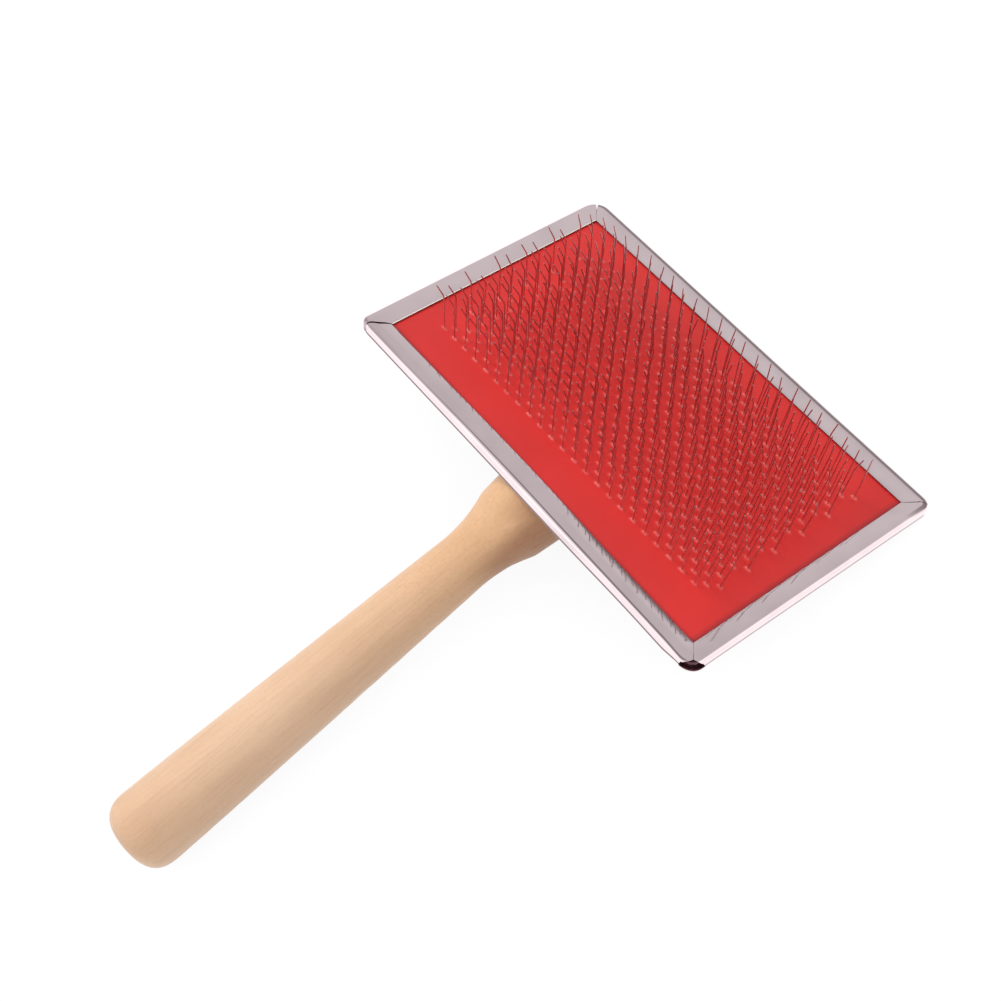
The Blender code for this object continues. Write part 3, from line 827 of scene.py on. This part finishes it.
def build_pan():
    pan = PanMesh()
    outer = add_strips(pan, inner=False)
    outer_ring, bridged = add_foot_ring(pan, outer, outer, 0.0)
    add_back(pan, outer_ring, bridged, inner=False)
    inner = add_strips(pan, inner=True)
    inner_ring, inner_bridged = add_foot_ring(pan, inner, outer, SHEET)
    add_back(pan, inner_ring, inner_bridged, inner=True)
    add_cut_edges(pan, outer, inner, outer_ring, inner_ring, bridged)
    ob = new_object("head_pan_sheet", [lifted(*v) for v in pan.verts], pan.faces, HEAD,
                    [tin, tin_edge, tin_shade_inside], sharp=40)
    ob.data.polygons.foreach_set("material_index", pan.slots)
    # the painted dark shade reaches the tin as the foot attribute
    point_attribute(ob, "foot", [pan.painted_shade.get(i, 0.0) for i in range(len(pan.verts))])
    register(ob, ROOT, "bright_tinplate", "head_pan")


build_pan()

# ---------------------------------------------------------------- pins
WIRE_RADIUS = 0.165
WIRE_SIDES = 7
WIRE_END = 0.86         # the wire's ends are this much thinner
FOOT_Z = -0.5           # where a leg starts
CROWN_Z = -1.83         # the staple's buried cross wire
KNEE_Z = 10.2
KNEE_HALF = 0.55        # the knee is rounded over this far each way
LONE_CROWN = 1.6        # cross wire of a staple with a single leg


def drift(x, y):
    """How far the first rows wander towards +y as x grows."""
    fade = np.clip((y - FIRST_ROW_Y) / (8 * ROW_PITCH), 0, 1)
    return 0.75 * (np.clip((x + 47) / 94, 0, 1)) * (1 - fade) ** 1.3


def plan_pins():
    """Every place of every row, with its own small errors; angles in degrees."""
    rng = random.Random(20817)
    rows = []
    for r in range(len(ROWS)):
        y = FIRST_ROW_Y + r * ROW_PITCH
        first, last = FILLED[r % 4]
        # over the last rows the tips come upright
        ease = clamp((y - 12.5) / 10.0)
        ease = ease * ease * (3 - 2 * ease)
        pins = []
        for i in range(PINS):
            x = FIRST_PIN_X + (ODD_SHIFT if r % 2 else 0.0) + i * PIN_PITCH
            upright = 26.0 * ease * clamp((x + 47) / 20, low=0.35)
            pin = {
                "x": x + rng.uniform(-0.10, 0.10),
                "y": y + float(drift(x, y)) + rng.uniform(-0.07, 0.07),
                "lean_x": rng.gauss(0, 0.9),
                "lean_y": rng.gauss(0, 1.0),
                "knee": KNEE_Z + rng.uniform(-0.35, 0.35),
                # the legs fan out along x
                "fan": 4.7 * x / 47.0
                       + max(0.0, x / 47.0) ** 1.5 * (4.0 - 5.5 * (y - FIRST_ROW_Y) / 47.0)
                       - 1.6 * math.exp(-((x + 12.0) / 22.0) ** 2),
                "tip": 4.40 + rng.uniform(-0.30, 0.30),
                "tip_lean": 25.0 - upright + rng.gauss(0, 2.6),
                "tip_side": rng.gauss(0, 3.0) + 1.5 * ease,
                "lip": rng.uniform(0.65, 1.15),
                "set": first <= i <= last,
            }
            if not pin["set"]:
                pin["lip"] = 0.0
            # a few pins are knocked askew
            if rng.random() < 0.03:
                pin["lean_x"] += rng.choice((-1, 1)) * 2.2
                pin["tip_side"] += rng.choice((-1, 1)) * 6
            pins.append(pin)
        rows.append(pins)
    return rows


def add_wire(verts, faces, path):
    """A round wire along a path, with flat ends."""
    first, end = len(verts), len(path) - 1
    up = None
    for k, p in enumerate(path):
        if k == 0:
            tangent = path[1] - path[0]
        elif k == end:
            tangent = path[-1] - path[-2]
        else:
            tangent = (path[k + 1] - p).normalized() + (p - path[k - 1]).normalized()
        tangent = tangent.normalized()
        if up is None:
            up = Vector((0, 1, 0)) if abs(tangent.y) < 0.9 else Vector((1, 0, 0))
        up = (up - tangent * up.dot(tangent)).normalized()
        sideways = tangent.cross(up)
        shrink = WIRE_END if k in (0, end) else 1.0
        for s in range(WIRE_SIDES):
            a = math.tau * s / WIRE_SIDES
            offset = (up * math.cos(a) + sideways * math.sin(a)) * WIRE_RADIUS * shrink
            verts.append(tuple(p + offset))
    for k in range(end):
        a, b = first + k * WIRE_SIDES, first + (k + 1) * WIRE_SIDES
        for s in range(WIRE_SIDES):
            s2 = (s + 1) % WIRE_SIDES
            faces.append((a + s, a + s2, b + s2, b + s))
    faces.append(tuple(first + s for s in reversed(range(WIRE_SIDES))))
    faces.append(tuple(first + end * WIRE_SIDES + s for s in range(WIRE_SIDES)))


def leg(pin):
    """Points from the foot up over the knee to the tip."""
    side = math.radians(pin["fan"] + pin["lean_x"])
    lower = Vector((math.tan(side), -math.tan(math.radians(pin["lean_y"])), 1.0))
    tip_side = side + math.radians(pin["tip_side"])
    upper = Vector((math.tan(tip_side), -math.tan(math.radians(pin["tip_lean"])), 1.0))
    foot = Vector((pin["x"], pin["y"], FOOT_Z))
    knee = foot + lower * (pin["knee"] - FOOT_Z)
    before = knee - lower.normalized() * KNEE_HALF
    after = knee + upper.normalized() * KNEE_HALF
    bend = (before + after) * 0.25 + knee * 0.5
    return [foot, foot.lerp(knee, 0.5), before, bend, after, knee + upper * pin["tip"]]


def crown_point(pin, x, z=0.0):
    return Vector((pin["x"], pin["y"], CROWN_Z)) + Vector((x, 0, z))


def crown_bend(pin, end):
    """Points from below the foot round into the cross wire, towards `end` along x."""
    return [crown_point(pin, 0, 0.45), crown_point(pin, end * 0.10, 0.12),
            crown_point(pin, end * 0.45)]


def build_staples(body, pins):
    verts, faces = [], []
    for k in range(0, len(pins), 2):
        near = pins[k]
        if k + 1 < len(pins):
            far = pins[k + 1]
            path = leg(near)[::-1] + crown_bend(near, 1) + crown_bend(far, -1)[::-1] + leg(far)
        else:
            path = [crown_point(near, LONE_CROWN)] + crown_bend(near, 1)[::-1] + leg(near)
        add_wire(verts, faces, path)
    node = frame["bodies"][body]
    cad_nodes = [name for name, o in frame["nodes"].items() if o.parent is node]
    ob = new_object("wire_staples_" + body, verts, faces, HEAD, [wire], sharp=50)
    fix_normals(ob)
    register(ob, body, "spring_wire", *cad_nodes)


pin_rows = plan_pins()
for body, row_pins in zip(ROWS, pin_rows):
    build_staples(body, [pin for pin in row_pins if pin["set"]])

# ---------------------------------------------------------------- pad layers
LAYER_GAP = 0.35        # between the layers and the pan's inside
LAYER_X = (OUT["-x"] + SHEET + LAYER_GAP, OUT["+x"] - SHEET - LAYER_GAP)
LAYER_Y = (OUT["-y"] + SHEET + LAYER_GAP, OUT["+y"] - SHEET - LAYER_GAP)
# corner radii by the signs of x and y
FACE_RADII = {(1, -1): 3.2, (1, 1): 3.2, (-1, 1): 7.0, (-1, -1): 3.2}
BACKING_RADII = dict.fromkeys(FACE_RADII, 8.0)
RUBBER_Z, RUBBER_BOTTOM = -0.45, -1.45
CLOTH_Z, CLOTH_BOTTOM = -1.60, -2.05
FELT_Z, FELT_BOTTOM = -2.25, -3.48
COARSE = 1.6            # grid step outside the wire lattice
THREAD_PITCH = 1.1
LIP_HEIGHT, LIP_HALF_X, LIP_HALF_Y = 0.26, 0.86, 0.30
# grid lines beside each half pin pitch and each row
PIN_LINES = (-0.92, -0.72, -0.42, 0.0, 0.42, 0.72, 0.92)
ROW_LINES = (-0.62, -0.38, -0.2, 0.0, 0.2, 0.38, 0.62, 1.065)


def lattice_lines(first, pitch, count, offsets, limits):
    """Grid lines that crowd round the wires, with coarse margins."""
    lo, hi = limits
    inner = sorted({round(first + k * pitch + o, 4) for k in range(count) for o in offsets})
    left = np.linspace(lo, inner[0] - 0.6, max(2, int((inner[0] - lo) / COARSE)))
    right = np.linspace(inner[-1] + 0.6, hi, max(2, int((hi - inner[-1]) / COARSE)))
    return np.array(list(left) + inner + list(right))


def even_lines(limits, step):
    lo, hi = limits
    return np.linspace(lo, hi, int((hi - lo) / step) + 1)


def rounded_grid(xs, ys, radii):
    """X and Y of a grid whose four corners are drawn in to arcs."""
    X, Y = np.meshgrid(xs, ys, indexing="ij")
    for i, j in np.ndindex(X.shape):
        sx = -1 if X[i, j] < 0 else 1
        sy = -1 if Y[i, j] < 0 else 1
        cx = (xs[0] if sx < 0 else xs[-1]) - sx * radii[(sx, sy)]
        cy = (ys[0] if sy < 0 else ys[-1]) - sy * radii[(sx, sy)]
        dx, dy = (X[i, j] - cx) * sx, (Y[i, j] - cy) * sy
        if dx > 1e-9 and dy > 1e-9:
            f = max(dx, dy) / math.hypot(dx, dy)
            X[i, j], Y[i, j] = cx + sx * dx * f, cy + sy * dy * f
    return X, Y


def build_slab(name, X, Y, Z, bottom, material):
    """A closed slab under a shaped top."""
    nx, ny = X.shape
    verts = [(float(a), float(b), float(c)) for a, b, c in zip(X.ravel(), Y.ravel(), Z.ravel())]

    def at(i, j):
        return i * ny + j

    faces = [(at(i, j), at(i + 1, j), at(i + 1, j + 1), at(i, j + 1))
             for i in range(nx - 1) for j in range(ny - 1)]
    ring = ([at(i, 0) for i in range(nx)] + [at(nx - 1, j) for j in range(1, ny)]
            + [at(i, ny - 1) for i in range(nx - 2, -1, -1)]
            + [at(0, j) for j in range(ny - 2, 0, -1)])
    low = range(len(verts), len(verts) + len(ring))
    verts += [(*verts[v][:2], bottom) for v in ring]
    for k in range(len(ring)):
        k2 = (k + 1) % len(ring)
        faces.append((ring[k2], ring[k], low[k], low[k2]))
    centre = len(verts)
    verts.append((sum(LAYER_X) / 2, sum(LAYER_Y) / 2, bottom))
    for k in range(len(low)):
        faces.append((low[k], centre, low[(k + 1) % len(low)]))
    ob = new_object(name, verts, faces, HEAD, [material], sharp=50)
    fix_normals(ob)
    return ob


def lip_heights(X, Y):
    """Height share of the rubber's raised lip round each wire."""
    pin_x, pin_y, pin_lip = (np.array([[pin[key] for pin in row] for row in pin_rows])
                             for key in ("x", "y", "lip"))
    lip = np.zeros_like(X)
    last = len(ROWS) - 1
    nearest = np.rint((Y - drift(X, Y) - FIRST_ROW_Y) / ROW_PITCH)
    nearest = np.clip(nearest, 0, last).astype(int)
    for k in (-1, 0, 1):
        row = np.clip(nearest + k, 0, last)
        start = FIRST_PIN_X + np.where(row % 2 == 1, ODD_SHIFT, 0.0)
        place = np.clip(np.rint((X - start) / PIN_PITCH), 0, PINS - 1).astype(int)
        dx, dy = X - pin_x[row, place], Y - pin_y[row, place]
        bump = (pin_lip[row, place] * np.exp(-(np.abs(dx) / LIP_HALF_X) ** 4)
                * np.exp(-(dy / LIP_HALF_Y) ** 2))
        lip = np.maximum(lip, bump)
    return lip


def rubber_height(X, Y, lip):
    """Gently waved sheet that dips at the window's edge, with its lips."""
    base = RUBBER_Z + 0.045 * np.sin(X * 0.11 + 0.6) * np.sin(Y * 0.17 + 1.1)
    base = base + 0.02 * np.sin(X * 0.31 + 2.0) * np.sin(Y * 0.26)
    edge = np.minimum(np.minimum(X + WIN_X, WIN_X - X), np.minimum(Y + WIN_Y, WIN_Y - Y))
    dip = np.clip((1.7 - edge) / 2.1, 0, 1)
    base = base - 0.10 * dip * dip * (3 - 2 * dip)
    return base + LIP_HEIGHT * lip


def rubber_masks(ob):
    """Painted shade where the rim covers each point, and painted light where it lies among the
    wires.
    """
    co = np.empty(len(ob.data.vertices) * 3, np.float32)
    ob.data.vertices.foreach_get("co", co)
    x, y, z = (co.reshape(-1, 3) / MM).T
    over = np.maximum(np.abs(x) - WIN_X, np.abs(y) - WIN_Y)
    painted_rim_shade = (0.30 * np.clip((over + 0.25) / 0.3, 0, 1)
               + 0.70 * np.clip((over - 0.25) / 0.5, 0, 1))
    painted_rim_shade[z < -1.2] = 1.0
    # painted light among the wires, fading over the far rows where more shade should show
    painted_pin_field_light = (np.clip((52.5 - np.abs(x)) / 9, 0, 1)
               * np.clip((y + 26.5) / 9, 0, 1) * np.clip((31.5 - y) / 6, 0, 1))
    painted_pin_field_light *= 1 - 0.85 * np.clip((y - 2) / 20, 0, 1) * np.clip((25 - x) / 50, 0, 1)
    return painted_rim_shade, painted_pin_field_light


def build_rubber():
    xs = lattice_lines(FIRST_PIN_X, PIN_PITCH / 2, 2 * PINS + 1, PIN_LINES, LAYER_X)
    ys = lattice_lines(FIRST_ROW_Y, ROW_PITCH, len(ROWS), ROW_LINES, LAYER_Y)
    X, Y = rounded_grid(xs, ys, FACE_RADII)
    lip = lip_heights(X, Y)
    ob = build_slab("rubber_face_sheet", X, Y, rubber_height(X, Y, lip), RUBBER_BOTTOM, rubber)
    lip_values = np.zeros(len(ob.data.vertices))
    lip_values[:lip.size] = np.clip(lip, 0, 1).ravel()
    painted_rim_shade, painted_pin_field_light = rubber_masks(ob)
    point_attribute(ob, "lip", lip_values)
    point_attribute(ob, "painted_rim_shade", painted_rim_shade)
    point_attribute(ob, "painted_pin_field_light", painted_pin_field_light)
    register(ob, ROOT, "red_rubber", "rubber_pad_face")


def build_cloth():
    X, Y = rounded_grid(even_lines(LAYER_X, 0.55), even_lines(LAYER_Y, 0.55), BACKING_RADII)
    k = math.pi / THREAD_PITCH
    Z = CLOTH_Z + 0.05 * np.sin(X * k) * np.sin(Y * k)
    ob = build_slab("woven_backing", X, Y, Z, CLOTH_BOTTOM, cloth)
    register(ob, ROOT, "woven_backing", "woven_backing_cloth")


def build_felt():
    X, Y = rounded_grid(even_lines(LAYER_X, 0.9), even_lines(LAYER_Y, 0.9), BACKING_RADII)
    Z = FELT_Z + (0.03 * np.sin(X * 1.7 + np.sin(Y * 2.3))
                  * np.sin(Y * 1.9 + np.sin(X * 1.1)))
    ob = build_slab("felt_layer", X, Y, Z, FELT_BOTTOM, felt)
    register(ob, ROOT, "grey_felt", "felt_cushion")


build_rubber()
build_cloth()
build_felt()

# ---------------------------------------------------------------- handle
# lengths from the butt on: rounded butt, tapering grip, flare, swelling, rounded nose
BUTT, GRIP, FLARE, SWELL, NOSE = 7.0, 92.5, 14.1, 25.4, 17.4
FLARE_START = BUTT + GRIP
SWELL_START = FLARE_START + FLARE
NOSE_START = SWELL_START + SWELL
BUTT_RADIUS, FULL_RADIUS, NECK_RADIUS = 3.4, 9.68, 7.05
SWELL_RISE = 1.72
NOSE_RADIUS = 2.4
HANDLE_AROUND = 128
GRIP_STEP = 0.75
SEAT_GAP = 0.15         # between the pan's back and the handle's flat seat
# shoulder edge sanded over: weights of neighbouring radii, 0.35 apart
SANDING = (1, 2, 3, 4, 3, 2, 1)
# marks: (distance from the butt, angle in degrees, length, width, depth, pale, dark)
MARKS = [
    (62.0, 18, 2.0, 0.9, 0.16, 1.0, 0.0),
    (67.5, 33, 4.2, 1.0, 0.05, 0.45, 0.0),
    (72.5, 42, 0.5, 0.4, 0.10, 0.0, 1.0),
    (107.4, 20, 1.4, 1.1, 0.10, 0.5, 0.0),
    (108.6, 12, 0.8, 0.45, 0.10, 0.0, 0.8),
]


def handle_radius(s):
    """Radius at a distance s from the butt."""
    if s < BUTT:
        u = s / BUTT
        dome = math.sqrt(max(0.0, 1 - (1 - u) ** 2.7))
        return BUTT_RADIUS + (FULL_RADIUS - BUTT_RADIUS) * dome
    if s < FLARE_START:
        return FULL_RADIUS + (NECK_RADIUS - FULL_RADIUS) * ((s - BUTT) / GRIP) ** 1.15
    if s < SWELL_START:
        return NECK_RADIUS + (FULL_RADIUS - NECK_RADIUS) * ((s - FLARE_START) / FLARE) ** 2.15
    if s < NOSE_START:
        return FULL_RADIUS + SWELL_RISE * math.sin((s - SWELL_START) / SWELL * math.pi / 2)
    v = min(1.0, (s - NOSE_START) / NOSE)
    widest = FULL_RADIUS + SWELL_RISE
    return NOSE_RADIUS + (widest - NOSE_RADIUS) * math.sqrt(max(0.0, 1 - v * v))


def soft_radius(s):
    """The same outline with the shoulder's edge sanded over."""
    if not 110.0 < s < 117.5:
        return handle_radius(s)
    return sum(handle_radius(s + 0.35 * k) * w
               for k, w in zip(range(-3, 4), SANDING)) / sum(SANDING)


def handle_stations():
    stations = [BUTT * (i / 16) ** 1.6 for i in range(16)]
    stations += [BUTT + GRIP_STEP * i for i in range(int(GRIP / GRIP_STEP))]
    stations += list(np.linspace(FLARE_START, 113.3, 30))
    stations += [113.6, 113.9, 114.2, 114.5, 114.8]
    stations += list(np.linspace(115.2, NOSE_START, 24))[:-1]
    stations += [NOSE_START + NOSE * math.sin(math.pi / 2 * k / 14) for k in range(15)]
    return sorted(set(round(s, 4) for s in stations))


def handle_point(s, outline, angle):
    """Radius, paleness and darkness of the surface near the outline's radius."""
    r = outline * (1 + 0.0025 * math.sin(2 * angle + 0.7 + s * 0.01))
    r += (0.02 * math.sin(s * 0.9 + 2.0 * math.sin(angle))
          * math.sin(3 * angle + s * 0.05))
    pale = dark = 0.0
    for place, degrees, length, width, depth, mark_pale, mark_dark in MARKS:
        turn = (angle - math.radians(degrees) + math.pi) % math.tau - math.pi
        off = ((s - place) / length) ** 2 + (turn * outline / width) ** 2
        strength = math.exp(-off * 1.5)
        r -= depth * strength
        pale = max(pale, mark_pale * strength)
        dark = max(dark, mark_dark * strength)
    return r, pale, dark


def cut_seat(ob):
    """Cuts the flat seat against the back of the head."""
    inverse = HANDLE.inverted()
    seat = HEAD_ORIGIN + HEAD_Z * (-DEPTH - SEAT_GAP) * MM
    bm = bmesh.new()
    bm.from_mesh(ob.data)
    bmesh.ops.bisect_plane(bm, geom=bm.verts[:] + bm.edges[:] + bm.faces[:],
                           plane_co=inverse @ seat, plane_no=inverse.to_3x3() @ HEAD_Z,
                           clear_outer=True, dist=1e-7)
    bmesh.ops.holes_fill(bm, edges=[e for e in bm.edges if e.is_boundary], sides=0)
    bmesh.ops.recalc_face_normals(bm, faces=bm.faces)
    bm.to_mesh(ob.data)
    bm.free()
    ob.data.shade_smooth()
    ob.data.set_sharp_from_angle(angle=math.radians(42))


def build_handle():
    stations = handle_stations()
    verts, pale, dark = [], [], []
    for s in stations:
        outline = soft_radius(s)
        for k in range(HANDLE_AROUND):
            angle = math.tau * k / HANDLE_AROUND
            r, point_pale, point_dark = handle_point(s, outline, angle)
            verts.append((r * math.cos(angle), r * math.sin(angle), s))
            pale.append(point_pale)
            dark.append(point_dark)
    verts += [(0, 0, 0), (0, 0, stations[-1])]
    faces = lathe_faces(len(stations), HANDLE_AROUND)
    ob = new_object("turned_handle", verts, faces, HANDLE, [wood])
    point_attribute(ob, "pale", pale + [0, 0])
    point_attribute(ob, "mark", dark + [0, 0])
    cut_seat(ob)
    ob.visible_glossy = False
    register(ob, ROOT, "pale_beech", "wooden_handle")


build_handle()

# ---------------------------------------------------------------- screws
SCREW_AROUND = 32
THREAD_RISE = 1.15
SEATING = -DEPTH + SHEET + 0.10     # underside of the screw's head
# (height over the head's underside, radius)
SCREW_POINT = [(-10.45, 0.12), (-10.0, 0.45)]
SCREW_HEAD = [(-1.5, 1.10), (-0.05, 1.12), (0.0, 1.5), (0.02, 3.05), (0.25, 3.18),
              (0.55, 3.0), (0.80, 2.45), (0.98, 1.6), (1.04, 0.9)]
THREAD_START, THREAD_END = -9.7, -1.6
RECESS_FROM = 0.9       # rings above this height carry the cross recess
RECESS_DEPTH = 0.55


def thread_radius(z, angle):
    phase = (z / THREAD_RISE - angle / math.tau) % 1.0
    ridge = max(0.0, 1 - abs(phase - 0.5) / 0.22)
    taper = min(1.0, (z + 10.2) / 2.4)
    return (0.92 + 0.40 * ridge) * (0.35 + 0.65 * taper)


def build_screw(node):
    """A cross-head wood screw with a cut thread, its head inside the pan."""
    lo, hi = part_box(node)
    centre = HEAD.inverted() @ ((lo + hi) / 2)
    x, y = centre.x / MM, centre.y / MM
    thread = []
    z = THREAD_START
    while z < THREAD_END:
        thread.append((z, None))
        z += THREAD_RISE / 8
    profile = SCREW_POINT + thread + SCREW_HEAD
    verts = []
    for z, radius in profile:
        for k in range(SCREW_AROUND):
            a = math.tau * k / SCREW_AROUND
            r = thread_radius(z, a) if radius is None else radius
            in_cross = z > RECESS_FROM and min(abs(math.cos(a)), abs(math.sin(a))) < 0.28
            height = z - RECESS_DEPTH if in_cross else z
            verts.append((x + r * math.cos(a), y + r * math.sin(a), SEATING + height))
    verts += [(x, y, SEATING - 10.5), (x, y, SEATING + 0.45)]
    ob = new_object(node + "_turned", verts, lathe_faces(len(profile), SCREW_AROUND), HEAD,
                    [zinc], sharp=40)
    fix_normals(ob)
    register(ob, ROOT, "zinc_plated_screw", node)


for node in sorted(frame["nodes"]):
    if node.startswith("handle_screw"):
        build_screw(node)


# ---------------------------------------------------------------- floor
def make_paper():
    """Matt paper that glows, with its own strength for each kind of ray."""
    material, n = new_material("pale_paper_floor")
    n.tree.nodes.remove(n.tree.nodes["Principled BSDF"])
    rays = n.new("LightPath").outputs
    # painted shadow: the glow dims where something stands close over the floor, faintly as seen,
    # strongly in reflections
    occlusion = n.new("AmbientOcclusion", {"Distance": 0.05}, samples=6)
    openness = n.math("POWER", occlusion.outputs["AO"], 1.3)
    seen = n.times(rays["Is Camera Ray"], n.ramp(openness, span=(0.0, 0.7), to=(0.93, 1.02)))
    mirrored = n.times(rays["Is Glossy Ray"],
                       n.ramp(openness, span=(0.02, 0.30), to=(0.45, 1.22)))
    lit = n.times(rays["Is Diffuse Ray"], n.ramp(openness, span=(0.0, 1.0), to=(0.04, 0.22)))
    glow = n.new("Emission", {"Color": (1.0, 0.995, 0.998),
                              "Strength": n.plus(n.plus(seen, mirrored), lit)})
    paper = n.new("BsdfDiffuse", {"Color": (0.60, 0.595, 0.60)})
    # seen directly or mirrored, only the glow shows
    glow_only = n.math("MAXIMUM", rays["Is Camera Ray"], rays["Is Glossy Ray"])
    plain = n.new("MixShader", {0: glow_only, 1: paper.outputs[0]})
    both = n.new("AddShader", {0: glow.outputs[0], 1: plain.outputs[0]})
    n.output(both.outputs[0])
    return material


def build_floor():
    half = 3
    mesh = bpy.data.meshes.new("studio_floor")
    mesh.from_pydata([(-half, -half, 0), (half, -half, 0), (half, half, 0), (-half, half, 0)],
                     [], [(0, 1, 2, 3)])
    floor = bpy.data.objects.new("studio_floor", mesh)
    bpy.context.scene.collection.objects.link(floor)
    floor.location.z = -0.0002
    mesh.materials.append(make_paper())


build_floor()


# ---------------------------------------------------------------- world and lights
def build_world():
    """A studio of soft bright and dim areas, mostly for the reflections."""
    world = bpy.data.worlds.new("studio")
    bpy.context.scene.world = world
    world.use_nodes = True
    n = Nodes(world.node_tree)
    view_direction = n.new("TexCoord").outputs["Generated"]

    def toward(x, y, z):
        return n.new("VectorMath", {0: view_direction, 1: Vector((x, y, z)).normalized()},
                     operation="DOT_PRODUCT").outputs["Value"]

    grey, brightest = 0.60, 1.25
    # broad bright side, weaker overhead
    bright = n.times(n.ramp(toward(0.55, -0.80, 0.22), span=(-0.12, 0.38)),
                     n.ramp(toward(0, 0, 1), span=(0.45, 0.95), to=(1.0, 0.30)))
    studio = n.plus(grey, n.times(bright, brightest - grey))
    # small bright patch
    studio = n.math("MAXIMUM", studio,
                    n.ramp(toward(0.85, 0.36, 0.20), span=(0.72, 0.93), to=(0.0, 1.15)))
    # dim patches overhead and towards +y
    studio = n.times(studio, n.ramp(toward(-0.22, 0.06, 0.95), span=(0.925, 0.975),
                                    to=(1.0, 0.40)))
    studio = n.times(studio, n.ramp(toward(-0.30, 0.95, 0.0), span=(0.85, 0.95),
                                    to=(1.0, 0.45)))
    # a little brighter low down
    studio = n.times(studio, n.ramp(toward(0, 0, 1), span=(0.53, 0.65), to=(1.13, 1.0),
                                    smooth=False))
    # light that falls on matt surfaces
    soft = n.ramp(toward(-0.60, -0.10, 0.80), span=(-0.35, 1.0), to=(0.41, 1.01), smooth=False)

    rays = n.new("LightPath").outputs
    diffuse, camera_ray = rays["Is Diffuse Ray"], rays["Is Camera Ray"]
    other_rays = n.math("SUBTRACT", 1.0, n.math("MAXIMUM", diffuse, camera_ray))
    level = n.plus(n.times(studio, other_rays), n.times(diffuse, soft))
    n.feed(n.tree.nodes["Background"], {"Color": (1.0, 0.985, 0.99),
                                        "Strength": n.plus(level, camera_ray)})


def add_softbox(name, location, size, power, colour):
    """A round light aimed at the origin that leaves no reflection."""
    light = bpy.data.lights.new(name, "AREA")
    light.shape = "DISK"
    light.size = size
    light.energy = power
    light.color = colour
    ob = bpy.data.objects.new(name, light)
    bpy.context.scene.collection.objects.link(ob)
    ob.location = location
    ob.rotation_mode = "QUATERNION"
    ob.rotation_quaternion = (Vector((0, 0, 0)) - Vector(location)).to_track_quat("-Z", "Y")
    ob.visible_glossy = False


build_world()
add_softbox("key_softbox", location=(-0.62, 0.14, 0.80), size=0.42, power=5.0,
            colour=(1.0, 0.99, 0.985))
add_softbox("fill_softbox", location=(0.45, -0.75, 0.7), size=0.7, power=2.25,
            colour=(1.0, 0.98, 0.97))

# ---------------------------------------------------------------- camera
# place and axes in the head's frame
CAMERA_PLACE = Vector((153.23075, -187.80821, 285.45330)) * MM
CAMERA_RIGHT = Vector((0.6119646773, 0.7873783674, 0.0743944914))
CAMERA_UP = Vector((-0.6653611790, 0.4617046095, 0.5866202818))
CAMERA_BACK = Vector((0.4275438402, -0.4084900979, 0.8064379112))


def add_camera():
    data = bpy.data.cameras.new("camera")
    data.sensor_width = 36.0
    data.lens = 56.859141
    data.clip_start = 0.01
    data.clip_end = 20
    camera = bpy.data.objects.new("camera", data)
    bpy.context.scene.collection.objects.link(camera)
    camera.matrix_world = HEAD @ axes_matrix(CAMERA_RIGHT, CAMERA_UP, CAMERA_BACK, CAMERA_PLACE)
    bpy.context.scene.camera = camera


add_camera()

view = bpy.context.scene.view_settings
view.view_transform = "Standard"
view.look = "None"
view.exposure = 0.0
